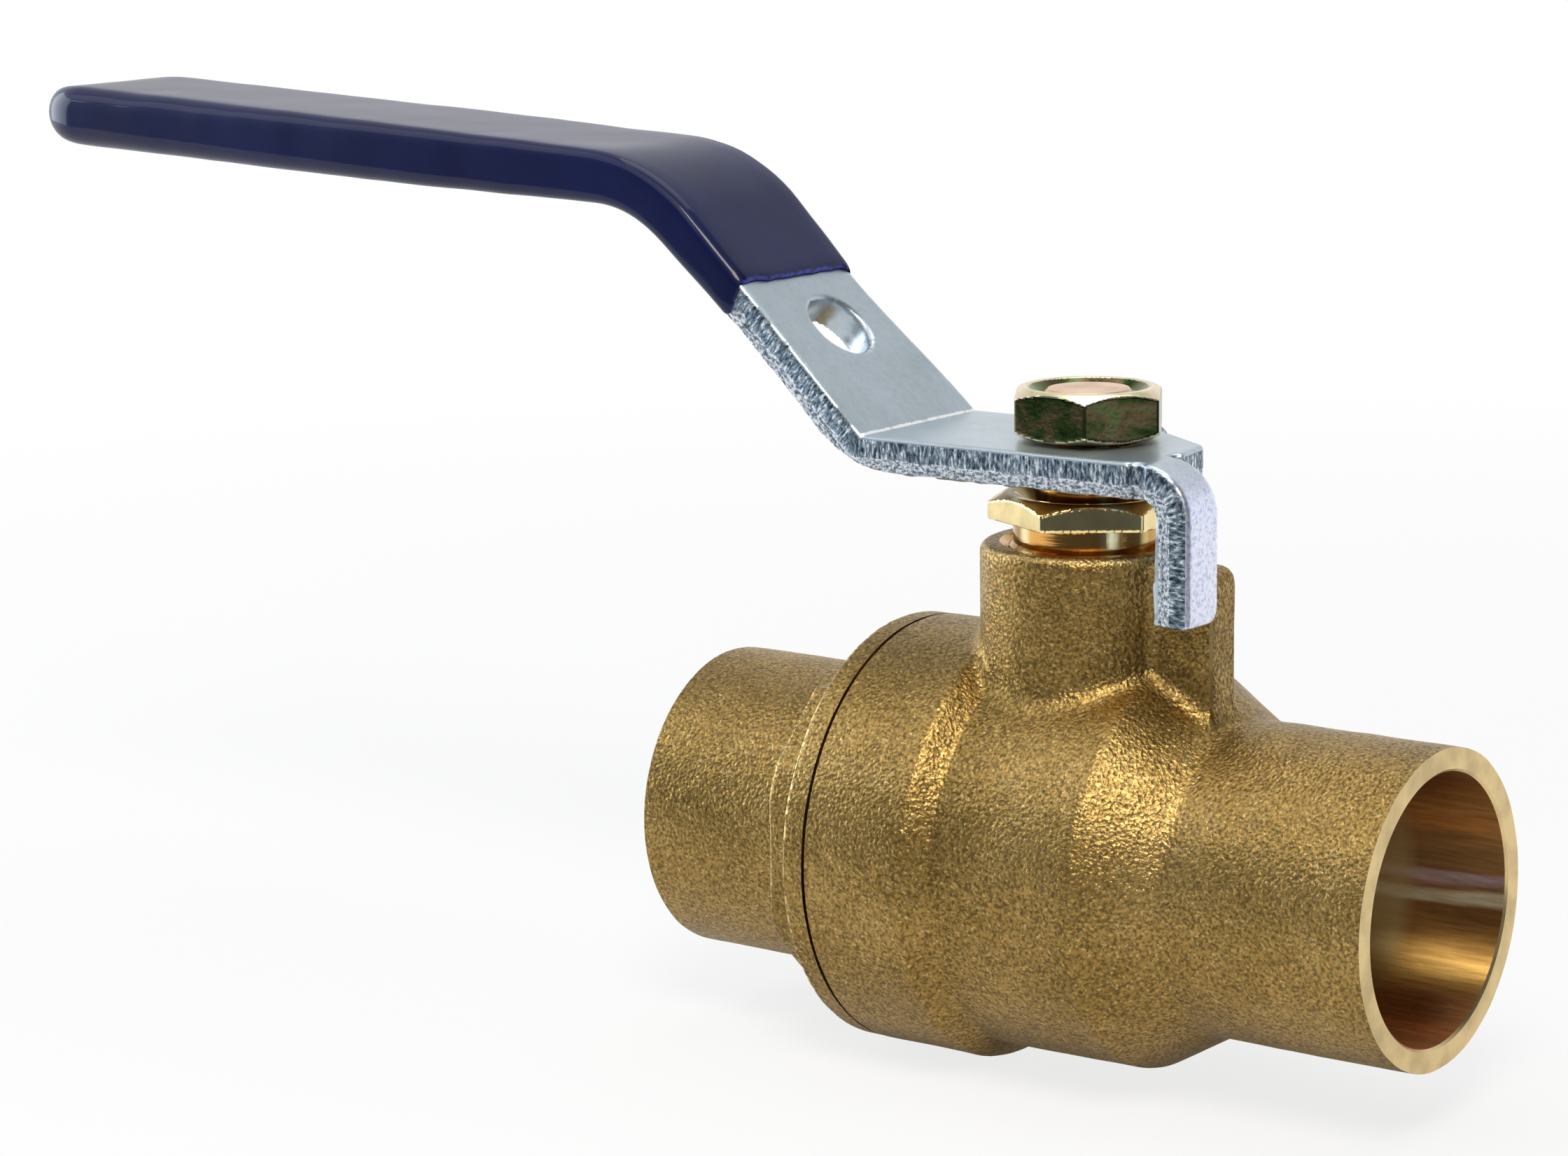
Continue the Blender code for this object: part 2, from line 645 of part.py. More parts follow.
def make_packing():
    bore = STEM_D / 2 + GAP
    make_ring("thrust_washer", COLLAR_STEM_D / 2, bore, WASHER_Z, WASHER_Z + WASHER_H, PTFE)
    outer = PACKING_R - GAP
    make_ring("lower_packing", outer, bore, LOWER_PACKING_Z, LOWER_PACKING_Z + PACKING_H, PTFE)
    make_ring("upper_packing", outer, bore, UPPER_PACKING_Z, UPPER_PACKING_Z + PACKING_H, PTFE)


def make_gland():
    """The hexagon nut that squeezes the packing, with its threaded shank and countersink."""
    over = 1.0 * MM
    chamfer = 0.9 * MM
    sink = 1.3 * MM
    corner = GLAND_AF / 2 / math.cos(math.pi / 6)
    made = add("packing_gland", prism_mesh("packing_gland", 6, GLAND_AF, GLAND_HEX_Z,
                                           GLAND_TOP_Z, GLAND_TURN), MACHINED_BRASS)
    limit = [(0.0, GLAND_TOP_Z + over), (GLAND_AF / 2 - 0.2 * MM, GLAND_TOP_Z + over),
             (GLAND_AF / 2 - 0.2 * MM, GLAND_TOP_Z), (corner, GLAND_TOP_Z - chamfer),
             (corner, GLAND_HEX_Z - over), (0.0, GLAND_HEX_Z - over)]
    turned = spin(tool("gland_chamfer", profile_mesh("limit", limit, False)), SMALL_SEGMENTS)
    combine(made, turned, "INTERSECT")
    lead = 0.4 * MM
    thread = GLAND_THREAD_D / 2
    shank = [(0.0, GLAND_TOP_Z - over), (thread, GLAND_TOP_Z - over),
             (thread, GLAND_BOTTOM_Z + lead), (thread - lead, GLAND_BOTTOM_Z),
             (0.0, GLAND_BOTTOM_Z)]
    combine(made, spin(tool("gland_shank", profile_mesh("shank", shank, False)),
                       SMALL_SEGMENTS), "UNION")
    hole = [(0.0, GLAND_TOP_Z + over), (BORE_R + sink + over, GLAND_TOP_Z + over),
            (BORE_R, GLAND_TOP_Z - sink), (BORE_R, GLAND_BOTTOM_Z - over),
            (0.0, GLAND_BOTTOM_Z - over)]
    combine(made, spin(tool("gland_hole", profile_mesh("hole", hole, False)),
                       SMALL_SEGMENTS), "DIFFERENCE")
    return crisp(made)


# ---------------------------------------------------------------- lever, grip and nut
def ramp_top():
    return RAMP_X - RAMP_RUN, LEVER_TOP + RAMP_RISE


def strap_side():
    """Side view of the whole strap in (x, z), from the open tab's end to the tip."""
    inside = TAB_X - LEVER_T
    ramp_x, ramp_z = ramp_top()
    tip_x = LEVER_TIP_X - 2.0 * MM
    tip_z = ramp_z + (ramp_x - tip_x) * math.tan(HANDLE_ANGLE)
    turn = RAMP_ANGLE - HANDLE_ANGLE
    low_x = RAMP_X - LEVER_T * math.tan(RAMP_ANGLE / 2)
    lean = HANDLE_ANGLE + turn / 2
    mitre = LEVER_T / math.cos(turn / 2)
    outline = [(inside, TAB_BOTTOM, 0.0), (TAB_X, TAB_BOTTOM, 0.0),
               (TAB_X, LEVER_TOP, TAB_BEND + LEVER_T), (RAMP_X, LEVER_TOP, CREASE_R),
               (ramp_x, ramp_z, HANDLE_BEND_R + LEVER_T / 2), (tip_x, tip_z, 0.0),
               (tip_x, tip_z - LEVER_T / math.cos(HANDLE_ANGLE), 0.0),
               (ramp_x - mitre * math.sin(lean), ramp_z - mitre * math.cos(lean),
                HANDLE_BEND_R - LEVER_T / 2),
               (low_x, LEVER_BOTTOM, CREASE_BACK_R), (inside, LEVER_BOTTOM, TAB_BEND)]
    return rounded(outline)


def head_plan():
    """Plan view of the whole lever: tab, relief notches, cut corner and the narrower handle."""
    half = LEVER_W / 2
    far_y = half - HEAD_CUT_W
    notch = RELIEF_R
    over = 2.0 * MM
    near_y = HANDLE_Y - HANDLE_W / 2
    back_y = HANDLE_Y + HANDLE_W / 2
    waist_x = RAMP_X - GRIP_START_S * math.cos(RAMP_ANGLE)
    tip_round = GRIP_TIP_ROUND - GRIP_SIDE_WALL - GAP
    near_notch = arc(HEAD_END_X - notch, TAB_Y0, notch, 180, 0, 6)
    far_notch = arc(HEAD_END_X, TAB_Y1 + notch, notch, 270, 90, 6)
    points = [(RAMP_X, half, 6.0 * MM), (waist_x, back_y, 0.0),
              (LEVER_TIP_X, back_y, tip_round), (LEVER_TIP_X, near_y, tip_round),
              (waist_x, near_y, 0.0), (RAMP_X, -half, 6.0 * MM)]
    points += [(x, y, 0.0) for x, y in near_notch]
    points += [(TAB_X + over, TAB_Y0, 0.0), (TAB_X + over, TAB_Y1, 0.0)]
    points += [(x, y, 0.0) for x, y in far_notch]
    points += [(HEAD_END_X - HEAD_SKEW, far_y, 0.6 * MM), (HEAD_CUT_X, half, 0.0)]
    return rounded(points, 8)


def tab_corner():
    """What is left outside the rounded bottom corner of the open tab."""
    over = 1.0 * MM
    round_y = TAB_Y1 - TAB_ROUND
    round_z = TAB_BOTTOM + TAB_ROUND
    outline = arc(round_y, round_z, TAB_ROUND, 0, -90, 6)
    outline += [(round_y, TAB_BOTTOM - over), (TAB_Y1 + over, TAB_BOTTOM - over),
                (TAB_Y1 + over, round_z)]
    depth = LEVER_T / 2 + over
    mesh = outline_mesh("tab_corner", outline, depth)
    return tool("tab_corner", end_view(mesh, TAB_X - LEVER_T / 2))


def close_tab():
    """The second tab, bent down on the far side, which stops the lever when it is shut."""
    inside = TAB_X - LEVER_T
    root = LEVER_W / 2 - 2.0 * MM
    outline = rounded([(inside, TAB_BOTTOM, 0.0), (TAB_X, TAB_BOTTOM, 0.0),
                       (TAB_X, LEVER_TOP, TAB_BEND + LEVER_T), (root, LEVER_TOP, 0.0),
                       (root, LEVER_BOTTOM, 0.0), (inside, LEVER_BOTTOM, TAB_BEND)])
    middle = (CLOSE_TAB_X0 + CLOSE_TAB_X1) / 2
    return tool("close_tab", end_view(outline_mesh("close_tab", outline, TAB_W / 2), middle))


def stem_hole():
    """The double-D hole that takes the stem's flats."""
    clear = THREAD_STEM_D / 2 + GAP
    half_flat = STEM_FLATS / 2 + GAP
    over = 1.0 * MM
    low = LEVER_BOTTOM - over
    high = LEVER_TOP + over
    made = tool("stem_hole", prism_mesh("stem_hole", SMALL_SEGMENTS, 2 * clear, low, high))
    window = tool("stem_hole_flats", block_mesh("window", (-STEM_D, -half_flat, low - over),
                                                (STEM_D, half_flat, high + over)))
    return combine(made, window, "INTERSECT")


def hang_hole():
    """The hole through the ramp, square to its face."""
    made = tool("hang_hole", prism_mesh("hang_hole", 28, HANG_HOLE_D, -3 * LEVER_T, 3 * LEVER_T))
    x = RAMP_X - HANG_HOLE_S * math.cos(RAMP_ANGLE)
    z = LEVER_TOP + HANG_HOLE_S * math.sin(RAMP_ANGLE)
    made.location = (x, 0.0, z)
    made.rotation_euler = (0.0, RAMP_ANGLE, 0.0)
    return made


def make_lever():
    over = 5.0 * MM
    half = LEVER_W / 2 + over
    made = add("lever", side_view(outline_mesh("lever", strap_side(), half)), ZINC)
    plan = outline_mesh("lever_plan", head_plan(), LEVER_TOP + RAMP_RISE + over)
    combine(made, tool("lever_plan", plan), "INTERSECT")
    combine(made, close_tab(), "UNION")
    combine(made, tab_corner(), "DIFFERENCE")
    combine(made, stem_hole(), "DIFFERENCE")
    combine(made, hang_hole(), "DIFFERENCE")
    return crisp(made)


def handle_stations(start_s, tip_x, tip_round):
    """Places along the middle of the strap, from the ramp to the tip.

    Each is its point, the direction across the strap's thickness, the distance left to the tip
    and how far along the handle it lies, from 0 at the bend to 1 at the tip.
    """
    turn = RAMP_ANGLE - HANDLE_ANGLE
    up_ramp = Vector((-math.cos(RAMP_ANGLE), 0.0, math.sin(RAMP_ANGLE)))
    ramp_normal = Vector((math.sin(RAMP_ANGLE), 0.0, math.cos(RAMP_ANGLE)))
    along = Vector((-math.cos(HANDLE_ANGLE), 0.0, math.sin(HANDLE_ANGLE)))
    normal = Vector((math.sin(HANDLE_ANGLE), 0.0, math.cos(HANDLE_ANGLE)))
    x, z = ramp_top()
    middle = (ramp_normal + normal).normalized() / math.cos(turn / 2)
    corner = Vector((x, HANDLE_Y, z)) - middle * LEVER_T / 2
    tangent = HANDLE_BEND_R * math.tan(turn / 2)
    centre = corner - up_ramp * tangent - ramp_normal * HANDLE_BEND_R
    foot = Vector((RAMP_X, HANDLE_Y, LEVER_TOP)) - ramp_normal * LEVER_T / 2
    length = (corner.x - tip_x) / math.cos(HANDLE_ANGLE)
    stations = [(foot + up_ramp * start_s, ramp_normal, length, 0.0)]
    for k in range(7):
        spoke = ramp_normal.copy()
        spoke.rotate(Matrix.Rotation(-turn * k / 6, 3, "Y"))
        stations.append((centre + spoke * HANDLE_BEND_R, spoke, length, 0.0))
    steps = 7
    for k in range(steps + 1):
        short = tip_round * (1 - math.sin(math.pi / 2 * k / steps))
        share = (length - short - tangent) / (length - tangent)
        stations.append((corner + along * (length - short), normal, short, share))
    return stations


def sleeve_rings(start_s, tip_x, width, thickness, tip_thickness, edge, tip_round):
    """Rounded sections along the handle, drawn in to a rounded tip."""
    rings = []
    for point, across, short, share in handle_stations(start_s, tip_x, tip_round):
        half_w = width / 2
        half_t = (thickness + (tip_thickness - thickness) * share) / 2
        if short < tip_round:
            half_w += math.sqrt(tip_round ** 2 - (tip_round - short) ** 2) - tip_round
        if short < edge:
            half_t += math.sqrt(edge ** 2 - (edge - short) ** 2) - edge
        radius = min(edge, 0.98 * half_t)
        section = rounded([(half_w, half_t, radius), (half_w, -half_t, radius),
                           (-half_w, -half_t, radius), (-half_w, half_t, radius)], 4)
        rings.append([point + Vector((0.0, y, 0.0)) + across * t for y, t in section])
    return rings


def make_grip():
    """The dipped vinyl sleeve, with the strap's own shape and a small gap cut out of it."""
    tip_x = LEVER_TIP_X - GAP
    rings = sleeve_rings(GRIP_START_S, tip_x - GRIP_TIP_WALL, GRIP_W, GRIP_T, GRIP_TIP_T,
                         GRIP_ROUND, GRIP_TIP_ROUND)
    up_ramp = Vector((-math.cos(RAMP_ANGLE), 0.0, math.sin(RAMP_ANGLE)))
    foot = handle_stations(GRIP_START_S, tip_x, GRIP_TIP_ROUND)[0]
    rings[0] = [p + up_ramp * DIP_SLANT * (p - foot[0]).dot(foot[1]) for p in rings[0]]
    made = add("grip", loft_mesh("grip", rings), VINYL)
    before = GRIP_START_S - 3.0 * MM
    hollow = sleeve_rings(before, tip_x, HANDLE_W + 2 * GAP, LEVER_T + 2 * GAP,
                          LEVER_T + 2 * GAP, GAP, GRIP_TIP_ROUND - GRIP_SIDE_WALL)
    combine(made, tool("grip_hollow", loft_mesh("grip_hollow", hollow)), "DIFFERENCE")
    return crisp(made)


def make_nut():
    """Hexagon nut, chamfered and countersunk on both faces, corners in line with the lever."""
    over = 1.0 * MM
    low = NUT_Z
    high = NUT_Z + NUT_H
    corner = NUT_AF / 2 / math.cos(math.pi / 6)
    chamfer = (corner - NUT_AF / 2 + 0.25 * MM) * math.tan(math.radians(30.0))
    face = NUT_AF / 2 - 0.25 * MM
    made = add("lever_nut", prism_mesh("lever_nut", 6, NUT_AF, low, high), YELLOW_ZINC)
    limit = [(0.0, high + over), (face, high + over), (face, high), (corner, high - chamfer),
             (corner, low + chamfer), (face, low), (face, low - over), (0.0, low - over)]
    turned = spin(tool("nut_chamfer", profile_mesh("limit", limit, False)), SMALL_SEGMENTS)
    combine(made, turned, "INTERSECT")
    bore = THREAD_STEM_D / 2 + GAP
    sink = 0.4 * MM
    hole = [(0.0, high + over), (bore + sink + over, high + over), (bore, high - sink),
            (bore, low + sink), (bore + sink + over, low - over), (0.0, low - over)]
    combine(made, spin(tool("nut_hole", profile_mesh("hole", hole, False)),
                       SMALL_SEGMENTS), "DIFFERENCE")
    return crisp(made)


make_body()
make_end_piece()
make_body_seal()
make_ball()
make_seat("body_seat", 1)
make_seat("end_seat", -1)
make_stem()
make_packing()
make_gland()
make_lever()
make_grip()
make_nut()
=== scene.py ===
# %% [markdown]
# # A quarter-turn ball valve, from imported CAD to a finished model
#
# The CAD model fixes every size and every joint. This script makes the surfaces that a hand
# would feel: a shot-blasted forging, machined bores, a sheared and plated steel lever, a dipped
# vinyl grip and a yellow-passivated nut. First the frame is loaded, and its box is kept; the
# floor is laid just under it.

# %% Load the CAD frame
import math

import bmesh
import bpy
import numpy as np
from mathutils import Matrix, Vector


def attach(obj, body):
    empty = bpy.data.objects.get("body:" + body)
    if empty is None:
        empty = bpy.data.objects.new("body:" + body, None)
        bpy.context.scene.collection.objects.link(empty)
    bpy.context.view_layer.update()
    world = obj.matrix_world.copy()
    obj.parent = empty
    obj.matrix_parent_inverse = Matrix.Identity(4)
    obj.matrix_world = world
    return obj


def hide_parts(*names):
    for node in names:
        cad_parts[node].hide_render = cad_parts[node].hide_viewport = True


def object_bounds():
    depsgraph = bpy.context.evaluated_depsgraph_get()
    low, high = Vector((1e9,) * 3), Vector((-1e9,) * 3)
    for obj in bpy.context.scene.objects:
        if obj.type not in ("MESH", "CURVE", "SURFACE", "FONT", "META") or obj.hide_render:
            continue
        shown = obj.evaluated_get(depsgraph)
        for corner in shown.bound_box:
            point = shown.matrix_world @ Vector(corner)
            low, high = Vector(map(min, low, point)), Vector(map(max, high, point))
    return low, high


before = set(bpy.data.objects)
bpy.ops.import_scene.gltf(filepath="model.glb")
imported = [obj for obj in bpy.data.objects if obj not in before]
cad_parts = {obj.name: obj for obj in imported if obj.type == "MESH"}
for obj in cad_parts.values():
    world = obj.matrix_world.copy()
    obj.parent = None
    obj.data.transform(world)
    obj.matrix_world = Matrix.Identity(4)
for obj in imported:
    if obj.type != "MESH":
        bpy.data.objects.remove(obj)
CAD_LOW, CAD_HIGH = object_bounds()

MM = 0.001
print("box of the CAD model in mm:", [round(v / MM, 2) for v in (*CAD_LOW, *CAD_HIGH)])

# %% [markdown]
# ## Camera, floor and light
#
# A long lens looks slightly down on the valve from its open end. Brass and zinc show whatever is
# around them, so the room matters as much as the lamps. A white floor sheet and a white sheet
# behind brighten what faces them, a dark room in front gives the dark bands, and large soft lamps
# draw the golden bands on the barrel. The upright bands on the gland's shank are partly mirrored
# from the room and partly painted highlights and painted shade.


# %% Camera
def placed(name, data):
    """An object that carries this data, linked into the scene."""
    made = bpy.data.objects.new(name, data)
    bpy.context.scene.collection.objects.link(made)
    return made


AZIMUTH = math.radians(37.093)
ELEVATION = math.radians(10.799)
ROLL = math.radians(-0.745)
EYE = Vector((0.19141, -0.29496, 0.09061))

back = Vector((math.sin(AZIMUTH) * math.cos(ELEVATION),
               -math.cos(AZIMUTH) * math.cos(ELEVATION), math.sin(ELEVATION)))
level = Vector((0.0, 0.0, 1.0)).cross(back).normalized()
upright = back.cross(level)
right = math.cos(ROLL) * level + math.sin(ROLL) * upright
top = -math.sin(ROLL) * level + math.cos(ROLL) * upright
lens = bpy.data.cameras.new("camera")
lens.lens = 99.05
lens.sensor_width = 36.0
lens.clip_start = 0.01
camera = placed("camera", lens)
camera.matrix_world = Matrix.Translation(EYE) @ Matrix((right, top, back)).transposed().to_4x4()
bpy.context.scene.camera = camera
bpy.context.scene.view_settings.view_transform = "Standard"
print("camera", [round(v, 3) for v in EYE], "lens", lens.lens)


# %% Node helpers
class Nodes:
    """Adds nodes to one tree. add returns the node, surface nothing, the rest a main output."""

    def __init__(self, tree, family="ShaderNode"):
        tree.nodes.clear()
        self.tree, self.family = tree, family

    def add(self, kind, inputs=None, **settings):
        """One node of any kind, with its settings, values and links."""
        new = self.tree.nodes.new(self.family + kind)
        for key, value in settings.items():
            setattr(new, key, value)
        for key, value in (inputs or {}).items():
            socket = new.inputs[key]
            if isinstance(value, bpy.types.NodeSocket):
                self.tree.links.new(value, socket)
            else:
                socket.default_value = (*value, 1.0) if socket.type == "RGBA" else value
        return new

    def place(self):
        """Object coordinates, in metres."""
        return self.add("TexCoord").outputs["Object"]

    def part_of(self, vector, axis):
        return self.add("SeparateXYZ", {0: vector}).outputs[axis]

    def noise(self, at, scale, detail, roughness=0.5, distortion=0.0):
        """Cloudy noise; three scales stretch it along the axes."""
        if isinstance(scale, tuple):
            at = self.add("Mapping", {"Vector": at, "Scale": scale}).outputs[0]
            scale = 1.0
        return self.add("TexNoise", {"Vector": at, "Scale": scale, "Detail": detail,
                                     "Roughness": roughness,
                                     "Distortion": distortion}).outputs[0]

    def maths(self, operation, *values):
        return self.add("Math", dict(enumerate(values)), operation=operation).outputs[0]

    def dot(self, vector, direction):
        return self.add("VectorMath", {0: vector, 1: direction},
                        operation="DOT_PRODUCT").outputs["Value"]

    def span(self, value, low, high, start=0.0, end=1.0):
        """The value's place between low and high, read off between start and end."""
        return self.add("MapRange", {0: value, 1: low, 2: high, 3: start, 4: end}).outputs[0]

    def ramp(self, factor, stops):
        """A colour ramp through (position, colour) stops; a plain number is a grey."""
        new = self.add("ValToRGB", {0: factor})
        while len(new.color_ramp.elements) < len(stops):
            new.color_ramp.elements.new(0.5)
        for element, (position, colour) in zip(new.color_ramp.elements, stops):
            element.position = position
            element.color = (*(colour if isinstance(colour, tuple) else (colour,) * 3), 1.0)
        return new.outputs["Color"]

    def mix(self, share, first, second, blend="MIX"):
        """Two colours mixed."""
        return self.add("Mix", {0: share, 6: first, 7: second}, data_type="RGBA",
                        blend_type=blend).outputs[2]

    def mix_values(self, share, first, second):
        return self.add("Mix", {0: share, 2: first, 3: second}).outputs[0]

    def layer(self, share, under, over):
        """Two shaders mixed."""
        return self.add("MixShader", {0: share, 1: under, 2: over}).outputs[0]

    def bump(self, height, strength, distance, **under):
        return self.add("Bump", {"Height": height, "Strength": strength,
                                 "Distance": distance, **under}).outputs[0]

    def surface(self, colour, roughness, metallic=0.0, **more):
        """The finish itself, and the end of the tree; _ stands for a space in a name."""
        shader = self.add("BsdfPrincipled", {
            "Base Color": colour, "Roughness": roughness, "Metallic": metallic,
            **{key.replace("_", " "): value for key, value in more.items()}})
        self.add("OutputMaterial", {"Surface": shader.outputs[0]})


def new_material(name):
    """A material with an empty node tree, and the helper that fills it."""
    made = bpy.data.materials.new(name)
    made.use_nodes = True
    return made, Nodes(made.node_tree)


# %% [markdown]
# The floor is matt paper, so the valve's own shadow stays on it. Towards the eye it is lifted to
# white. Towards metal it is lifted only away from the valve, because close by a real valve
# shades the sheet that it mirrors. Its outline ends in front, so that the metal's lower parts
# mirror the dark room, as they do over the edge of a small studio table.

# %% Floor
FLOOR_Z = CAD_LOW[2] - 0.2 * MM
FLOOR_OUTLINE = [(-1.7, -0.26), (-0.1, -0.232), (0.03, -0.17), (0.12, -0.06), (0.235, 0.3),
                 (0.235, 2.2), (-1.7, 2.2)]
floor_mesh = bpy.data.meshes.new("floor")
floor_mesh.from_pydata([(x, y, FLOOR_Z) for x, y in FLOOR_OUTLINE], [],
                       [tuple(range(len(FLOOR_OUTLINE)))])
floor = placed("floor", floor_mesh)
paper, n = new_material("studio_paper")
ray = n.add("LightPath").outputs
shown = n.maths("MAXIMUM", ray["Is Camera Ray"], ray["Is Glossy Ray"])
shown = n.maths("MAXIMUM", shown, ray["Is Transmission Ray"])
matt = n.add("BsdfDiffuse", {"Color": (0.8, 0.8, 0.8)}).outputs[0]
glow = n.add("Emission", {"Color": (1.0, 1.0, 1.0), "Strength": 1.0}).outputs[0]
far_off = n.add("VectorMath", {0: n.place()}, operation="LENGTH").outputs["Value"]
to_eye = n.span(far_off, 0.1, 0.4, 0.8, 1.0)
to_metal = n.span(far_off, 0.04, 0.2, 0.15, 1.0)
lift = n.layer(n.mix_values(ray["Is Glossy Ray"], to_eye, to_metal), matt, glow)
n.add("OutputMaterial", {"Surface": n.layer(shown, matt, lift)})
floor_mesh.materials.append(paper)

# %% Backdrop
BEHIND = (-0.603, 0.798, 0.0)
BESIDE = (0.56, 0.828, 0.0)
world = bpy.data.worlds.new("studio")
world.use_nodes = True
bpy.context.scene.world = world
n = Nodes(world.node_tree)
towards = n.add("TexCoord").outputs["Generated"]
sheet_top = n.span(n.part_of(towards, "Z"), 0.22, 0.58, 1.0, 0.52)
sheet = n.span(n.dot(towards, BEHIND), -0.02, 0.5, 0.0, sheet_top)
window = n.span(n.dot(towards, BESIDE), 0.86, 0.97, 0.09, 1.0)
light_there = n.maths("MAXIMUM", window, n.maths("MULTIPLY", sheet, 0.6))
ray = n.add("LightPath").outputs
mirrored = n.maths("MAXIMUM", ray["Is Glossy Ray"], ray["Is Transmission Ray"])
shown = n.maths("MAXIMUM", ray["Is Camera Ray"], n.maths("MULTIPLY", mirrored, sheet))
room = n.add("Background", {"Color": (0.87, 0.96, 1.05), "Strength": light_there})
white = n.add("Background", {"Color": (1.0, 1.0, 1.0), "Strength": 1.0})
n.add("OutputWorld", {"Surface": n.layer(shown, room.outputs[0], white.outputs[0])})
print("the white sheet stands behind the valve")


# %% Lamps
def soft_box(name, place, size, power, colour=(1.0, 1.0, 1.0)):
    """A rectangular area lamp that faces the middle of the valve."""
    lamp = bpy.data.lights.new(name, "AREA")
    lamp.shape = "RECTANGLE"
    lamp.size, lamp.size_y = size
    lamp.energy = power
    lamp.color = colour
    holder = placed(name, lamp)
    holder.location = place
    aim = Vector((-0.02, 0.0, 0.01)) - Vector(place)
    holder.rotation_euler = aim.to_track_quat("-Z", "Y").to_euler()


soft_box("key", (0.25, -0.39, 0.52), (0.24, 0.26), 3.2, (1.0, 0.96, 0.9))
soft_box("canopy", (-0.25, -0.35, 0.55), (0.8, 0.45), 1.3)
soft_box("overhead", (-0.05, 0.15, 0.7), (0.5, 0.5), 1.5)
soft_box("left", (-0.62, -0.12, 0.14), (0.5, 0.4), 2.1, (0.82, 0.91, 1.0))
soft_box("front", (0.3, -0.52, 0.06), (0.06, 0.14), 0.05)
soft_box("right", (0.56, -0.05, -0.03), (0.14, 0.05), 0.022)

# %% [markdown]
# ## Shapes from distance fields
#
# A forging has no sharp inside corners: each form runs into the next in a soft blend. A distance
# field gives that directly. It is a rule that says, for any point, how far it lies from the skin,
# below zero inside. Two rules are joined with a rounded minimum, and the joint gets its fillet. A
# surface net then lays quads where the rule changes sign, and pulls each corner onto the skin.
# Stacked primitives with bevels could give the same outline, but not fillets whose height
# changes all the way round. All lengths in these rules are in millimetres.


# %% A surface net
def surface_net(rule, low, high, cell):
    """Corners (mm) and quads of the surface where rule(points) is zero."""
    axes = [np.arange(a, b + cell, cell) for a, b in zip(low, high)]
    shape = [len(a) for a in axes]
    values = np.empty(shape, dtype=np.float32)
    sheet = np.stack(np.meshgrid(axes[1], axes[2], indexing="ij"), axis=-1).reshape(-1, 2)
    for i, x in enumerate(axes[0]):
        values[i] = rule(np.insert(sheet, 0, x, axis=1)).reshape(shape[1:])
    inside = values < 0.0
    corners = [np.array(c) for c in np.ndindex(2, 2, 2)]

    def block(array, corner):
        return array[tuple(slice(c, c + s - 1) for c, s in zip(corner, shape))]

    count = sum(block(inside, c).astype(np.int8) for c in corners)
    live = (count > 0) & (count < 8)
    number = np.cumsum(live).reshape(live.shape) - 1
    total, hits = np.zeros((live.sum(), 3)), np.zeros(live.sum())
    for k, first in enumerate(corners):
        for second in corners[k + 1:]:
            if np.abs(second - first).sum() == 1:
                f0, f1 = (block(values, c)[live].astype(float) for c in (first, second))
                cross = (f0 < 0) != (f1 < 0)
                t = np.where(cross, f0 / np.where(cross, f0 - f1, 1.0), 0.0)[:, None]
                total += np.where(cross[:, None], first + t * (second - first), 0.0)
                hits += cross
    points = np.argwhere(live) + total / hits[:, None]
    points = points * cell + np.array([a[0] for a in axes])
    quads = []
    for axis in range(3):
        other = [a for a in range(3) if a != axis]
        window = [slice(1, -1)] * 3
        window[axis] = slice(None)
        start, end = (np.delete(inside[tuple(window)], k, axis) for k in (-1, 0))
        for leaving in (True, False):
            edge = np.argwhere(start > end if leaving else start < end)
            ring = []
            for step in ((0, 0), (1, 0), (1, 1), (0, 1)):
                cell_at = edge.copy()
                cell_at[:, other] += step
                ring.append(number[tuple(cell_at.T)])
            quads.append(np.stack(ring if leaving != (axis == 1) else ring[::-1], axis=1))
    return points, np.concatenate(quads)


def settle(rule, points, rounds, step=0.02):
    """Pull points onto the surface of a rule, down its slope by central differences."""
    for _ in range(rounds):
        normal = np.empty_like(points)
        for axis in range(3):
            shift = np.zeros(3)
            shift[axis] = step
            normal[:, axis] = (rule(points + shift) - rule(points - shift)) / (2 * step)
        size = np.maximum((normal ** 2).sum(axis=1), 0.05)
        points = points - normal * (rule(points) / size)[:, None]
    return points


# %% Rules that forms are built from
def around_x(p):
    return np.hypot(p[:, 1], p[:, 2])


def around_z(p):
    return np.hypot(p[:, 0], p[:, 1])


def blend(a, b, radius, turn=math.pi / 2):
    """The union of two rules, with a fillet; turn is the angle between their outward normals."""
    reach_a, reach_b = radius - a, radius - b
    c, s = math.cos(turn), math.sin(turn)
    between = (reach_a > reach_b * c) & (reach_b > reach_a * c)
    away = np.sqrt(np.maximum(reach_a ** 2 + reach_b ** 2 - 2 * reach_a * reach_b * c, 0.0)) / s
    return np.where(between, radius - away, np.minimum(a, b))


def trim(a, b, radius, turn=math.pi / 2):
    """The part of a inside b, its edge rounded to that radius."""
    return -blend(-a, -b, radius, turn)


def box_rule(p, low, high, radius):
    """A box with rounded edges."""
    middle = (np.array(low) + np.array(high)) / 2
    half = (np.array(high) - np.array(low)) / 2 - radius
    q = np.abs(p - middle) - half
    return np.linalg.norm(np.maximum(q, 0.0), axis=1) + np.minimum(q.max(axis=1), 0.0) - radius


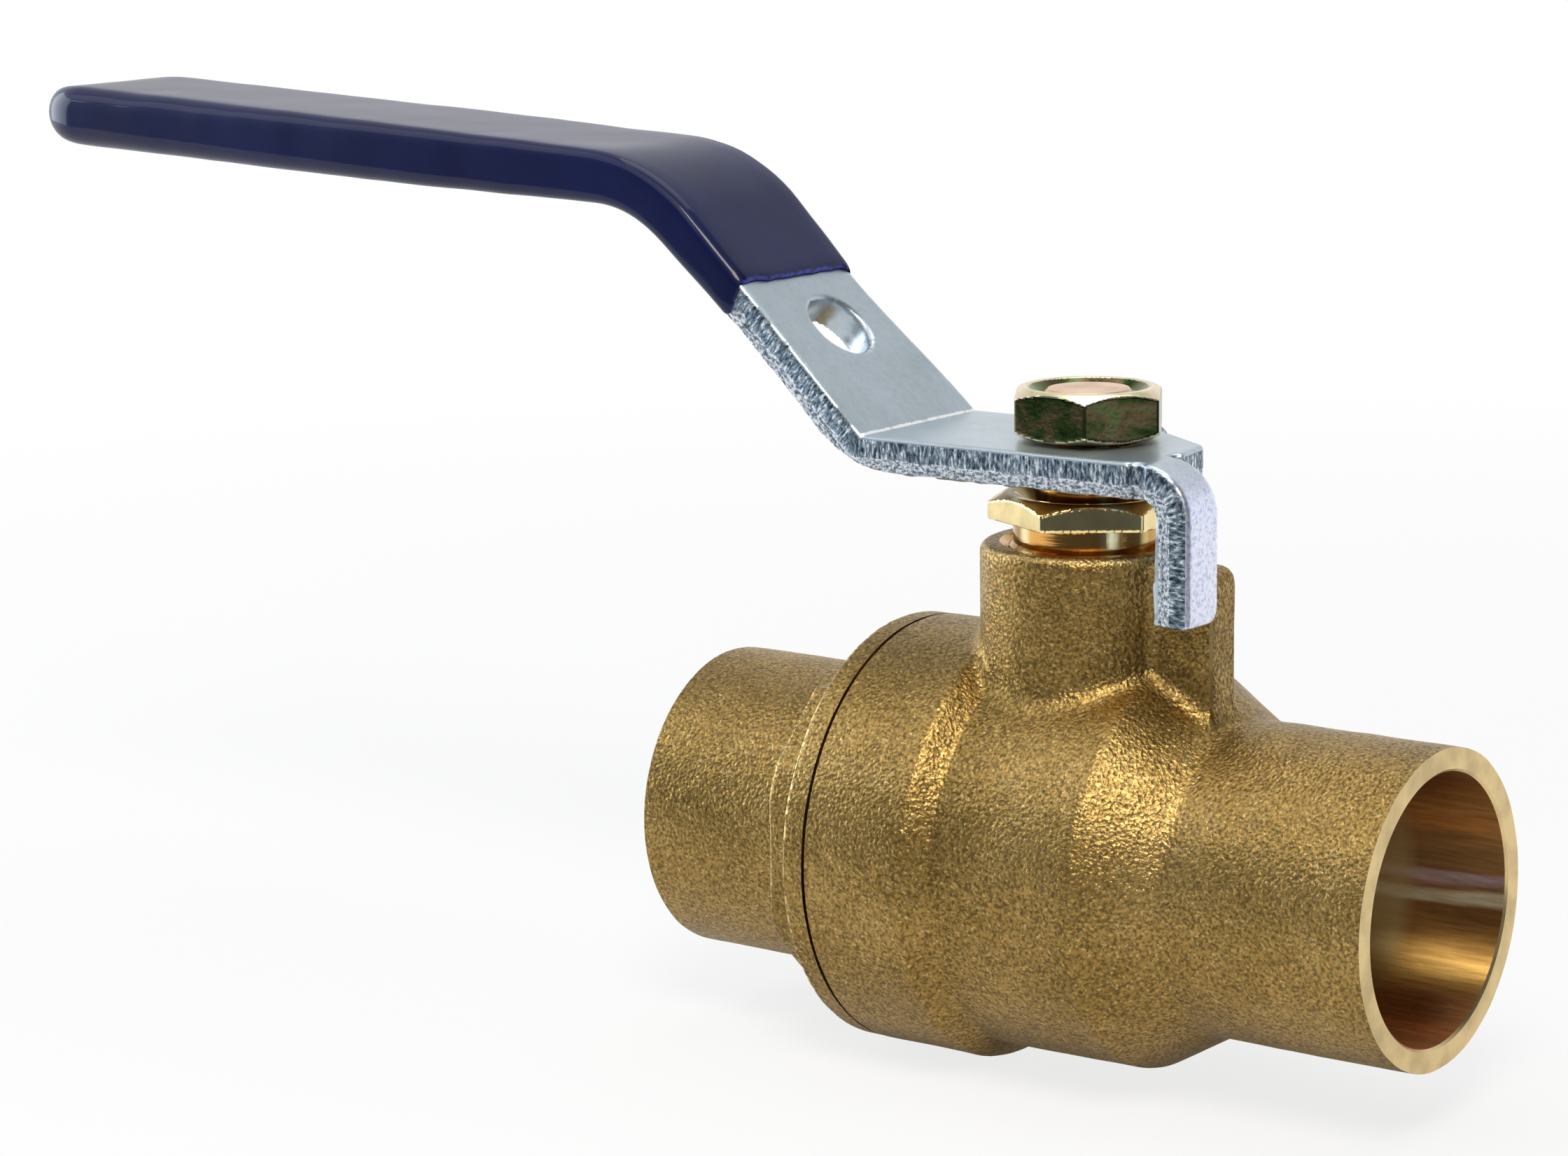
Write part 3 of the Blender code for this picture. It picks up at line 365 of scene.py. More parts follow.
def wobble(p, size, seed):
    """Smooth noise from -1 to 1 with lumps about size across, hashed from a lattice."""
    q = p / size + np.array([seed * 17.13, seed * 5.71, seed * 9.37])
    base = np.floor(q).astype(np.int64)
    t = q - base
    t = t * t * (3 - 2 * t)
    found = np.zeros(len(p))
    for a, b, c in np.ndindex(2, 2, 2):
        h = (base[:, 0] + a) * 374761393 + (base[:, 1] + b) * 668265263
        h = (h + (base[:, 2] + c) * 2147483647) & 0xFFFFFFFF
        h = ((h ^ (h >> 13)) * 1274126177) & 0xFFFFFFFF
        value = ((h ^ (h >> 16)) & 0xFFFF) / 32767.5 - 1.0
        weight = np.abs(1 - a - t[:, 0]) * np.abs(1 - b - t[:, 1])
        found += value * weight * np.abs(1 - c - t[:, 2])
    return found


# %% Meshes
def mesh_object(name, points, faces):
    """An object at the origin with these corners (mm) and faces."""
    mesh = bpy.data.meshes.new(name)
    faces = faces if isinstance(faces, list) else faces.tolist()
    mesh.from_pydata((np.asarray(points) * MM).tolist(), [], faces)
    return placed(name, mesh)


def skin(name, rule, low, high, cell, rounds=2):
    """The surface of a rule inside a box, as a closed object."""
    points, quads = surface_net(rule, low, high, cell)
    return mesh_object(name, settle(rule, points, rounds), quads)


def face_out(made, weld=0.0):
    """Turn every face outward; corners nearer than weld (m) become one."""
    shape = bmesh.new()
    shape.from_mesh(made.data)
    if weld:
        bmesh.ops.remove_doubles(shape, verts=shape.verts, dist=weld)
    bmesh.ops.recalc_face_normals(shape, faces=shape.faces)
    shape.to_mesh(made.data)
    shape.free()
    return made


def turned(name, profile, segments, axis="Z"):
    """A closed turned solid from (radius, height) points, both ends on the axis."""
    ring = np.linspace(0, math.tau, segments, endpoint=False)
    rows = [(r * math.cos(a), r * math.sin(a), h) for r, h in profile[1:-1] for a in ring]
    points = np.array([(0.0, 0.0, profile[0][1]), *rows, (0.0, 0.0, profile[-1][1])])
    faces = []
    for s in range(segments):
        a, b = 1 + s, 1 + (s + 1) % segments
        faces.append((0, a, b))
        for _ in profile[2:-1]:
            faces.append((a, a + segments, b + segments, b))
            a, b = a + segments, b + segments
        faces.append((a, len(rows) + 1, b))
    return face_out(mesh_object(name, points[:, [2, 0, 1]] if axis == "X" else points, faces))


def apply_step(made):
    """Give an object the mesh that its modifier makes, and take the modifier away."""
    graph = bpy.context.evaluated_depsgraph_get()
    mesh = bpy.data.meshes.new_from_object(made.evaluated_get(graph))
    made.modifiers.clear()
    made.data = mesh


def cut(made, tool, operation="DIFFERENCE"):
    """Cut a closed object with a closed tool, at once, and drop the tool."""
    step = made.modifiers.new("cut", "BOOLEAN")
    step.operation = operation
    step.solver = "MANIFOLD"
    step.object = tool
    apply_step(made)
    bpy.data.objects.remove(tool, do_unlink=True)


def face_off(made, near, far):
    """Turn a flat end on X: everything between these two places goes."""
    cut(made, turned("facing", [(0, near), (30, near), (30, far), (0, far)], 24, "X"))


def corners_of(made):
    """The corners of an object in mm."""
    places = np.empty(len(made.data.vertices) * 3)
    made.data.vertices.foreach_get("co", places)
    return places.reshape(-1, 3) / MM


def mark(made, name, values):
    """Store one value, or one vector, for each corner."""
    kind, field = (("FLOAT", "value"), ("FLOAT_VECTOR", "vector"))[values.ndim - 1]
    made.data.attributes.new(name, kind, "POINT")
    made.data.attributes[name].data.foreach_set(field, values.astype(np.float32).ravel())


def dress(made, looks, pick=None):
    """Give an object its materials; pick(centres in mm) says which slot each face takes."""
    made.data.materials.clear()
    for look in looks:
        made.data.materials.append(look)
    if pick is not None:
        centres = np.empty(len(made.data.polygons) * 3)
        made.data.polygons.foreach_get("center", centres)
        chosen = pick(centres.reshape(-1, 3) / MM).astype(np.int32)
        made.data.polygons.foreach_set("material_index", chosen)
    made.data.shade_smooth()
    made.data.set_sharp_from_angle(angle=math.radians(32.0))
    made.data.update()


def report(made):
    count = sum(len(p.vertices) - 2 for p in made.data.polygons)
    print(made.name, "has", count, "triangles")

# %% [markdown]
# ## Finishes
#
# Each finish is one material that several pieces share. A forging is blasted with steel shot, so
# its skin is a mass of small dents 0.3 to 0.5 mm across, bright on their rims and brown in their
# floors. Fine noise in colour, roughness and a shallow bump gives that; a deep bump would
# scatter the broad bands that the lamps draw. Scattered small cells are painted bright as glints,
# a painted highlight. Outer edges are painted paler, partly as tumbler wear and partly as a
# painted edge highlight, and a corner attribute says where.

# %% Blasted brass
blasted_brass, n = new_material("blasted_brass")
place = n.place()
grain = n.noise(place, 3300.0, 2.0, 0.55)
dents = n.add("TexVoronoi", {"Vector": place, "Scale": 3000.0, "Smoothness": 0.4},
              feature="SMOOTH_F1").outputs["Distance"]
cells = n.add("TexVoronoi", {"Vector": place, "Scale": 5200.0}).outputs["Color"]
one_cell = n.add("SeparateColor", {"Color": cells}).outputs[0]
patches = n.noise(place, 85.0, 4.0, 0.55)
tone = n.ramp(patches, [(0.3, (0.27, 0.172, 0.05)), (0.52, (0.36, 0.232, 0.074)),
                        (0.75, (0.45, 0.304, 0.112))])
speck = n.ramp(grain, [(0.36, 0.48), (0.5, 0.9), (0.64, (1.28, 1.22, 1.08))])
# painted glints: random small cells are painted a bright warm brass, a painted highlight that
# stands in for sparkle off the blasted facets
painted_glint = n.ramp(one_cell, [(0.84, 0.0), (0.99, 0.45)])
colour = n.mix(painted_glint, n.mix(1.0, tone, speck, "MULTIPLY"), (0.8, 0.6, 0.26))
rubbed_and_lit = n.add("Attribute", attribute_name="wear_and_edge_highlight").outputs["Fac"]
# tumbler wear and painted edge highlight: marked edges are painted a pale brass
worn_and_highlight = n.ramp(n.maths("MULTIPLY", rubbed_and_lit, patches), [(0.16, 0.0), (0.46, 0.8)])
shallow = n.bump(dents, 0.45, 0.00013, Normal=n.bump(grain, 0.55, 0.00018))
n.surface(n.mix(worn_and_highlight, colour, (0.8, 0.66, 0.36)), n.span(grain, 0.3, 0.7, 0.48, 0.34), 1.0,
          Normal=shallow)

# %% [markdown]
# Turned faces carry fine rings round the axis they were turned on. Noise gives them, squeezed
# along that axis. Shanks get painted upright bands, painted highlights with painted reddish shade
# between them, that stand in for the lamps mirrored in a polished shank; the angle round the
# shank picks them. Inside the cups the colour follows the angle too: painted highlight streaks
# and painted shade bands stand in for light mirrored in the bore, over noise streaks along it,
# and its gloss is drawn out round the bore as it is on any bored tube.


# %% Machined brass
def turned_brass(name, along, colour, roughness, ring_depth, painted_bands=None):
    """Brass turned on an axis; along is the scale that packs the tool's rings along it."""
    made, n = new_material(name)
    place = n.place()
    lines = n.noise(place, along, 3.0)
    # painted highlights and painted shade: given bands, the colour follows the angle round the
    # axis
    if painted_bands:
        angle = n.maths("ARCTAN2", n.part_of(place, "Y"), n.part_of(place, "X"))
        tone = n.ramp(n.span(angle, -math.pi, math.pi), painted_bands)
    else:
        tone = n.ramp(n.noise(place, 300.0, 4.0),
                      [(0.36, tuple(0.72 * c for c in colour)), (0.6, colour)])
    n.surface(tone, roughness, 1.0, Normal=n.bump(lines, 0.5, ring_depth))
    return made


# painted highlight and painted shade colours for the shank's upright bands
PAINTED_HIGHLIGHT, DULL, PAINTED_RED_SHADE = (1.0, 0.86, 0.5), (0.75, 0.5, 0.17), (0.82, 0.43, 0.12)
SHANK_PAINTED_BANDS = [
    (0.0, DULL), (0.16, (0.4, 0.21, 0.07)), (0.178, PAINTED_HIGHLIGHT), (0.19, PAINTED_HIGHLIGHT),
    (0.205, (0.82, 0.44, 0.12)), (0.36, (0.74, 0.37, 0.1)), (0.383, PAINTED_HIGHLIGHT), (0.402, PAINTED_HIGHLIGHT),
    (0.418, PAINTED_RED_SHADE), (0.448, (0.8, 0.43, 0.12)), (0.467, (0.9, 0.66, 0.28)),
    (0.487, (0.5, 0.3, 0.1)), (0.6, (0.8, 0.55, 0.2)), (1.0, DULL)]
bore_brass = turned_brass("bored_brass", (5200.0, 60.0, 60.0), (0.8, 0.55, 0.24), 0.26, 0.00009)
rim_brass = turned_brass("faced_brass", (300.0, 900.0, 900.0), (0.8, 0.6, 0.29), 0.32, 0.00002)
shank_brass = turned_brass("turned_brass", (80.0, 80.0, 4200.0), (0.94, 0.66, 0.22), 0.1,
                           0.000012, SHANK_PAINTED_BANDS)
drawn_brass = turned_brass("drawn_brass", (700.0, 700.0, 60.0), (0.98, 0.8, 0.41), 0.13,
                           0.000008)
end_brass = turned_brass("sawn_brass", (900.0, 900.0, 900.0), (0.92, 0.64, 0.43), 0.36, 0.00003)

# %% Inside the cups
BRONZE = (0.36, 0.19, 0.07)
# painted highlight streaks and painted shade bands round the bore, by angle, standing in for
# light mirrored in it
CUP_PAINTED_BANDS = [
    (0.0, (0.52, 0.23, 0.09)), (0.19, (0.6, 0.27, 0.1)), (0.245, (0.78, 0.48, 0.13)),
    (0.275, (0.7, 0.42, 0.12)), (0.315, (0.4, 0.22, 0.06)), (0.42, (0.3, 0.14, 0.04)),
    (0.435, (1.0, 0.88, 0.6)), (0.452, (1.0, 0.86, 0.58)), (0.466, BRONZE),
    (0.49, (0.7, 0.52, 0.52)), (0.51, BRONZE), (0.6, (0.5, 0.27, 0.09)),
    (0.68, (0.62, 0.33, 0.1)), (0.8, (0.34, 0.15, 0.04)), (1.0, (0.2, 0.08, 0.03))]
socket_brass, n = new_material("socket_brass")
place = n.place()
angle = n.maths("ARCTAN2", n.part_of(place, "Z"), n.part_of(place, "Y"))
drift = n.span(n.noise(place, (60.0, 300.0, 300.0), 4.0), 0.0, 1.0, -0.12, 0.12)
painted_light_bands = n.ramp(n.span(n.maths("ADD", angle, drift), -1.5708, 1.5708), CUP_PAINTED_BANDS)
streaks = n.ramp(n.noise(place, (180.0, 2400.0, 2400.0), 4.0, 0.7),
                 [(0.36, 0.7), (0.52, 1.0), (0.66, 1.25)])
inner_part = n.span(n.maths("ABSOLUTE", n.part_of(place, "X")), 0.0252, 0.0236, 0.0, 0.65)
colour = n.mix(inner_part, n.mix(0.9, painted_light_bands, streaks, "MULTIPLY"), (0.6, 0.46, 0.2))
rings = n.bump(n.noise(place, (5200.0, 60.0, 60.0), 3.0), 0.5, 0.00003)
axis = n.add("VectorTransform", {0: (1.0, 0.0, 0.0)}, vector_type="VECTOR",
             convert_from="OBJECT", convert_to="WORLD").outputs[0]
n.surface(colour, 0.42, 1.0, Anisotropic=0.9, Tangent=axis, Normal=rings)

# %% [markdown]
# The lever is electroplated with bright zinc after it is punched and bent. The flat sheet is
# smooth with a faint cloud. The outside of the bent tab has a bluish mottle and a painted
# lavender tint, light that it catches painted into its colour. The tight bend has one thin
# painted highlight line along the crease. The punched edge is another surface: dark upright
# streaks where the punch burnished it, bright broken grains below. Two attributes, "shear" and
# "fracture", say where on the edge a point lies.

# %% Zinc plate
TAB_STARTS, TAB_OUTSIDE, CREASE_AT = 0.0115, 0.0148, -0.017
zinc_plate, n = new_material("zinc_plate")
place = n.place()
fine = n.noise(place, 1500.0, 4.0, 0.6)
tone = n.ramp(n.noise(place, 160.0, 6.0, 0.62), [
    (0.34, (0.47, 0.54, 0.59)), (0.5, (0.51, 0.585, 0.635)), (0.66, (0.54, 0.615, 0.675))])
plain = n.mix(1.0, tone, n.ramp(fine, [(0.36, 0.95), (0.5, 1.0), (0.66, 1.03)]), "MULTIPLY")
along = n.part_of(place, "X")
# painted light: the tab's outside is painted a lavender-blue tint that stands in for the cool
# light it catches
tab_painted_tint = n.span(along, TAB_STARTS, TAB_OUTSIDE, 0.0, 0.9)
crazed = n.ramp(n.noise(place, 3200.0, 3.0, 0.65), [
    (0.34, (0.55, 0.57, 0.72)), (0.46, (0.95, 0.96, 1.0)), (0.6, 1.15)])
colour = n.mix(tab_painted_tint, n.mix(tab_painted_tint, plain, (0.84, 0.85, 1.0)), crazed, "MULTIPLY")
# painted highlight: a thin near-white line along the bend crease stands in for light caught there
off_crease = n.maths("ABSOLUTE", n.maths("SUBTRACT", along, CREASE_AT))
crease_highlight = n.maths("MULTIPLY", n.span(off_crease, 0.0003, 0.00012), fine)
colour = n.mix(n.ramp(crease_highlight, [(0.3, 0.0), (0.46, 1.0)]), colour, (1.0, 1.0, 0.97))
n.surface(colour, 0.34, 0.9, Normal=n.bump(fine, 0.35, 0.00007))

# %% Sheared and plated edge
sheared_zinc, n = new_material("sheared_zinc")
zone = n.add("Attribute", attribute_name="fracture").outputs["Fac"]
on_edge = n.add("Attribute", attribute_name="shear").outputs["Vector"]
streak = n.noise(on_edge, (4.2, 4.2, 1.4), 4.0, 0.65)
chips = n.noise(on_edge, (2.6, 2.6, 4.0), 4.0, 0.7)
burnished = n.ramp(streak, [(0.36, (0.015, 0.03, 0.05)), (0.46, (0.12, 0.17, 0.22)),
                            (0.55, (0.3, 0.38, 0.46)), (0.65, (0.95, 0.98, 1.0))])
broken = n.ramp(chips, [(0.37, (0.06, 0.1, 0.14)), (0.48, (0.34, 0.41, 0.47)),
                        (0.57, (0.92, 0.94, 1.0))])
lip_line = n.ramp(zone, [(0.05, 0.0), (0.35, 1.0), (0.8, 1.0), (1.0, 0.35)])
patchy = n.ramp(n.maths("MULTIPLY", lip_line, chips), [(0.44, 0.0), (0.56, 0.95)])
colour = n.mix(patchy, n.mix(zone, burnished, broken), (0.9, 0.92, 1.0))
n.surface(colour, 0.36, 0.85,
          Normal=n.bump(n.mix_values(zone, streak, chips), 0.5, 0.00015))

# %% [markdown]
# Dipped vinyl is a deep blue under a wet-looking skin, so it is a dark base with a thin glossy
# coat. It grows paler and brighter blue where it thins out to nothing at the dip line. The nut
# is zinc under a yellow film. Its drawn flats turned olive and its turned ends stayed straw
# yellow and pink, because the film grew differently on the two; one function makes both.

# %% Dipped vinyl
blue_vinyl, n = new_material("blue_vinyl")
place = n.place()
slow = n.noise(place, 120.0, 2.0)
tone = n.ramp(slow, [(0.3, (0.0012, 0.004, 0.042)), (0.7, (0.0018, 0.006, 0.058))])
thin = n.add("Attribute", attribute_name="thin").outputs["Fac"]
thin = n.ramp(n.maths("MULTIPLY", thin, n.noise(place, 1800.0, 2.0)), [(0.28, 0.0), (0.5, 1.0)])
ripple = n.bump(slow, 0.2, 0.0003)
n.surface(n.mix(thin, tone, (0.05, 0.05, 0.55)), 0.45, IOR=1.5, Specular_IOR_Level=0.15,
          Coat_Weight=0.4, Coat_Roughness=0.07, Coat_IOR=1.5, Normal=ripple,
          Coat_Normal=ripple)


# %% Yellow-passivated zinc
def passivated(name, tones, roughness):
    """Zinc under a yellow film that turns green and pink with its thickness."""
    made, n = new_material(name)
    place = n.place()
    cloud = n.noise(place, 300.0, 4.0, distortion=0.7)
    n.surface(n.ramp(cloud, list(zip((0.34, 0.44, 0.54, 0.66), tones))), roughness, 1.0,
              Normal=n.bump(n.noise(place, 2200.0, 3.0), 0.3, 0.00006))
    return made


nut_flats = passivated("yellow_zinc_drawn", [(0.02, 0.05, 0.015), (0.07, 0.11, 0.035),
                                             (0.19, 0.14, 0.075), (0.15, 0.2, 0.08)], 0.2)
nut_ends = passivated("yellow_zinc_turned", [(0.66, 0.62, 0.34), (0.86, 0.76, 0.5),
                                             (0.96, 0.78, 0.58), (0.76, 0.76, 0.52)], 0.28)

# %% Chrome and white ring plastic
chrome, n = new_material("chromed_brass")
n.surface((0.78, 0.79, 0.81), n.span(n.noise(n.place(), 900.0, 2.0), 0.0, 1.0, 0.05, 0.12), 1.0)
ring_plastic, n = new_material("ring_plastic")
cloud = n.noise(n.place(), 400.0, 3.0)
n.surface(n.ramp(cloud, [(0.3, (0.78, 0.78, 0.74)), (0.7, (0.88, 0.88, 0.85))]), 0.42)
print("materials:", sorted(m.name for m in bpy.data.materials if m.users))

# %% [markdown]
# ## The forged body
#
# Collar, barrel, cup, neck and stop lug come out of one pair of dies. The rule below joins them
# with the fillets that the dies leave, a wobble stands for the die's own unevenness, and then
# the machining is cut: the mouth and the collar are faced, and both bores are turned. The cut
# faces keep their crisp edges, which is what tells machined brass from forged brass.

# %% Sizes of the body in mm, some of them shared with the end piece
CUP_R = 13.1
CUP_BORE_R = 11.15
CHAMFER_R = 12.35
PORT_R = 9.5
POCKET_R = 13.5
COLLAR_R = 18.39
MOUTH_X = 33.2
CUP_FLOOR_X = 14.2
POCKET_X = 12.7
COLLAR_FACE_X = -16.05
RIM_START_X = -6.96
BARREL_R = 16.85
SHOULDER_X = 8.3
CHAMBER_R = 14.4
CHAMBER_X = 6.94
THREAD_FLOOR_X = -7.3
THREAD_R = 15.8
NECK_R = 9.0
NECK_TOP = 26.6
LUG = ((6.0, -3.5, 8.0), (14.1, 0.35, 25.9))
LUG_ROUND = 1.8
SKIN_DEPTH = 0.035


# %% The body's forged form
def step_down(x, start, high, low, round_out, round_in, tilt):
    """Radius and steepness of a rounded step: an arc, a cone at that tilt, an arc back."""
    c, s, t = math.cos(tilt), math.sin(tilt), math.tan(tilt)
    run = max((high - low - (round_out + round_in) * (1 - c)) / t, 0.0)
    cone, foot = round_out * s, round_out * s + run
    u = x - start
    first = np.clip(u, 0.0, cone)
    second = np.clip(foot + round_in * s - u, 0.0, round_in * s)
    fall_out = np.sqrt(round_out ** 2 - first ** 2)
    fall_in = np.sqrt(round_in ** 2 - second ** 2)
    upper = high - round_out + fall_out - np.clip(u - cone, 0.0, run) * t
    steep = np.where(u > foot, second / fall_in, np.where(u > cone, t, first / fall_out))
    return np.where(u > foot, low + round_in - fall_in, upper), steep


def barrel_rule(p):
    """Collar, barrel and cup as one turned form."""
    rim = step_down(p[:, 0], RIM_START_X, COLLAR_R, BARREL_R, 0.95, 0.7, math.radians(37.0))
    shoulder = step_down(p[:, 0], SHOULDER_X, BARREL_R, CUP_R, 1.5, 2.5, math.radians(30.0))
    left = p[:, 0] < 2.0
    radius = np.where(left, rim[0], shoulder[0])
    steep = np.where(left, rim[1], shoulder[1])
    return (around_x(p) - radius) / np.sqrt(1 + steep ** 2)


def body_rule(p, soft=1.0):
    """The forging, 1 mm longer at both faces; soft 0 gives its sharp edges."""
    x, z = p[:, 0], p[:, 2]
    outside = np.maximum(barrel_rule(p), np.maximum(x - MOUTH_X, COLLAR_FACE_X - x) - 1.0)
    post = np.maximum(trim(around_z(p) - NECK_R, z - NECK_TOP, 0.8 * soft), -z)
    corner = np.hypot(np.maximum(x - LUG[1][0] + LUG_ROUND, 0.0),
                      np.maximum(z - LUG[1][2] + LUG_ROUND, 0.0)) - LUG_ROUND
    lug = trim(box_rule(p, *LUG, 0.45 * soft), corner, 0.3)
    whole = blend(outside, blend(post, lug, 0.7), 1.25)
    return whole - 0.05 * wobble(p, 5.0, 3) - 0.03 * wobble(p, 2.1, 8)


body = skin("forged_body", body_rule, (-17.6, -19.2, -19.2), (34.8, 19.2, 27.4), 0.36, 3)

# %% Machine the body
face_off(body, 40, MOUTH_X)
face_off(body, COLLAR_FACE_X, -22)
cut(body, turned("bore", [
    (0, MOUTH_X + 1), (CHAMFER_R, MOUTH_X + 1), (CUP_BORE_R, MOUTH_X - 0.2),
    (CUP_BORE_R, CUP_FLOOR_X), (PORT_R, CUP_FLOOR_X), (PORT_R, POCKET_X), (POCKET_R, POCKET_X),
    (POCKET_R, CHAMBER_X), (CHAMBER_R, CHAMBER_X), (CHAMBER_R, THREAD_FLOOR_X),
    (THREAD_R, THREAD_FLOOR_X), (THREAD_R, -17.0), (0, -17.0)], 144, "X"))
cut(body, turned("neck_bore", [
    (0, 27.6), (8.4, 27.6), (6.7, 25.9), (6.7, 20.2), (4.8, 20.2), (4.8, 18.2), (6.9, 18.2),
    (6.9, 10.4), (0, 10.4)], 96))


# %% Finish the body
def body_faces(c):
    """0 blasted, 1 bored, 2 faced, 3 inside the cup."""
    deep = body_rule(c) < -SKIN_DEPTH
    faced = (np.abs(c[:, 0] - MOUTH_X) < 0.02) | (np.abs(c[:, 0] - COLLAR_FACE_X) < 0.02)
    chamfer = (c[:, 0] > MOUTH_X - 0.25) & deep
    in_cup = deep & (c[:, 0] > CUP_FLOOR_X + 0.1) & (around_x(c) < CUP_BORE_R + 0.15)
    return np.select([faced | chamfer, in_cup, deep], [2, 3, 1], 0)


def rub_and_highlight_edges(made, rule, depth):
    """Mark edges painted paler, tumbler wear plus a painted edge highlight: where the sharp form
    would stand proud.
    """
    p = corners_of(made)
    proud = np.clip(-rule(p, 0.0) / depth, 0.0, 1.0)
    machined = rule(p) < -0.1
    on_cup = np.abs(p[:, 0]) > 36.0
    under_neck = (p[:, 0] > -12.0) & (p[:, 0] < 5.0) & (p[:, 2] < 21.0)
    mark(made, "wear_and_edge_highlight", np.where(machined | on_cup | under_neck, 0.0, proud))


rub_and_highlight_edges(body, body_rule, 0.32)
dress(body, [blasted_brass, bore_brass, rim_brass, socket_brass], body_faces)
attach(body, "housing")
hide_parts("body")
report(body)

# %% [markdown]
# ## The end piece
#
# The end piece screws into the collar. It has the same cup, a flange that closes against the
# collar's face, and a wrench octagon whose corners were turned down. It is forged and blasted
# like the body, and then bored and threaded, so it is made the same way: a rule with soft edges
# first, and the tools' cuts after it.

# %% End piece
TAIL_X = -37.2
FLANGE_FACE_X = -16.35
FLANGE_BACK_X = -18.4
OCTAGON_BACK_X = -21.75
OCTAGON_FLATS = 31.5
OCTAGON_ROUND_R = 16.5
OCTAGON_TOP = 13.2
MERGE_X = -17.0


def tail_rule(p, soft=1.0):
    """Cup, octagon and flange; soft 0 gives their sharp edges."""
    x, around = p[:, 0], around_x(p)
    cup = np.maximum(around - CUP_R, np.maximum(TAIL_X - 1.0 - x, x - MERGE_X))
    octagon = np.maximum(around - OCTAGON_ROUND_R, np.abs(p[:, 2]) - OCTAGON_TOP)
    for turn in np.radians([0.0, 45.0, 90.0, 135.0]):
        side = np.abs(p[:, 1] * math.cos(turn) + p[:, 2] * math.sin(turn)) - OCTAGON_FLATS / 2
        octagon = np.maximum(octagon, side)
    octagon = np.maximum(trim(octagon, OCTAGON_BACK_X - x, 0.4 * soft), x - MERGE_X)
    flange = trim(around - COLLAR_R, FLANGE_BACK_X - x, 0.32 * soft)
    flange = np.maximum(flange, x - FLANGE_FACE_X - 1.0)
    whole = blend(blend(octagon, cup, 0.6 * soft), flange, 0.3 * soft)
    return whole - 0.035 * wobble(p, 4.0, 5) - 0.02 * wobble(p, 1.8, 9)


tail = skin("tail_piece", tail_rule, (-39.0, -19.2, -19.2), (-14.6, 19.2, 19.2), 0.33, 3)
face_off(tail, -44.0, TAIL_X)
face_off(tail, -10, FLANGE_FACE_X)
plug = turned("plug", [(0, -8.8), (15.2, -8.8), (15.5, -9.1), (15.5, -17.2), (0, -17.2)], 144,
              "X")
cut(tail, plug, "UNION")
cut(tail, turned("bore", [
    (0, -6.0), (POCKET_R, -6.0), (POCKET_R, -POCKET_X), (PORT_R, -POCKET_X), (PORT_R, -18.2),
    (CUP_BORE_R, -18.2), (CUP_BORE_R, TAIL_X + 0.2), (CHAMFER_R, TAIL_X - 1.0),
    (0, TAIL_X - 1.0)], 144, "X"))


def tail_faces(c):
    """0 blasted, 1 bored or turned, 2 faced, 3 inside the cup."""
    deep = tail_rule(c) < -SKIN_DEPTH
    faced = (np.abs(c[:, 0] - TAIL_X) < 0.25) & deep
    inner = deep | (c[:, 0] > FLANGE_FACE_X - 0.02)
    in_cup = inner & (c[:, 0] < -18.3) & (around_x(c) < CUP_BORE_R + 0.15)
    return np.select([faced, in_cup, inner], [2, 3, 1], 0)


rub_and_highlight_edges(tail, tail_rule, 0.09)
dress(tail, [blasted_brass, bore_brass, rim_brass, socket_brass], tail_faces)
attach(tail, "housing")
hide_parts("end_piece")
report(tail)

# %% [markdown]
# ## The lever
#
# The lever is a strap of 3 mm steel, cut out with a punch, bent, and plated with zinc. A punch
# leaves three signs on a cut edge: the face it enters rolls over, the next part is burnished with
# fine streaks through the thickness, and the last third breaks away rough, with a burr. A bevel
# would make both edges alike, so rules give each sign instead: one pair of rules for the bent
# faces, one for the punched outline, and one that joins them as a punch does.

# %% Faces of the bent strap
THICK = 3.0
HEAD_TOP = 35.0
BEND_X = -17.0
RAMP = math.radians(43.0)
HANDLE = math.radians(2.5)
TURN_X = -39.9
TURN_Z = HEAD_TOP + (BEND_X - TURN_X) * math.tan(RAMP)
TAB_X = 14.85
TAB_END_Z = 21.9
TAB_OUT_R = 4.4
TAB_IN_R = 1.4
TIP_X = -114.5


def strap_faces(p, crease=0.5):
    """Distance above the strap's upper face, and below its under face."""
    x, z = p[:, 0], p[:, 2]
    flat = z - HEAD_TOP
    ramp_face = (x - BEND_X) * math.sin(RAMP) + flat * math.cos(RAMP)
    handle = (x - TURN_X) * math.sin(HANDLE) + (z - TURN_Z) * math.cos(HANDLE)
    tab = x - TAB_X
    upper = trim(blend(flat, ramp_face, crease, RAMP), handle, 16.3, RAMP - HANDLE)
    upper = trim(upper, tab, TAB_OUT_R)
    under = trim(-flat - THICK, -ramp_face - THICK, 11.5, RAMP)
    under = blend(under, -handle - THICK, 13.3, RAMP - HANDLE)
    return upper, blend(under, -tab - THICK, TAB_IN_R)


def strap_length(p):
    """Where a point lies along the strap, growing from the handle to the end of the tab."""
    x, z = p[:, 0], p[:, 2]
    up = (x - BEND_X) * math.cos(RAMP) - (z - HEAD_TOP) * math.sin(RAMP)
    past_x, past_z = x - (TAB_X - TAB_OUT_R), z - (HEAD_TOP - TAB_OUT_R)
    bent = np.clip(np.arctan2(past_x, past_z), 0.0, math.pi / 2) * THICK
    on_tab = np.where(past_x > 0, bent + np.maximum(-past_z, 0.0), 0.0)
    return np.where(x < BEND_X - 1.0, BEND_X + up, np.minimum(x, TAB_X - TAB_OUT_R) + on_tab)


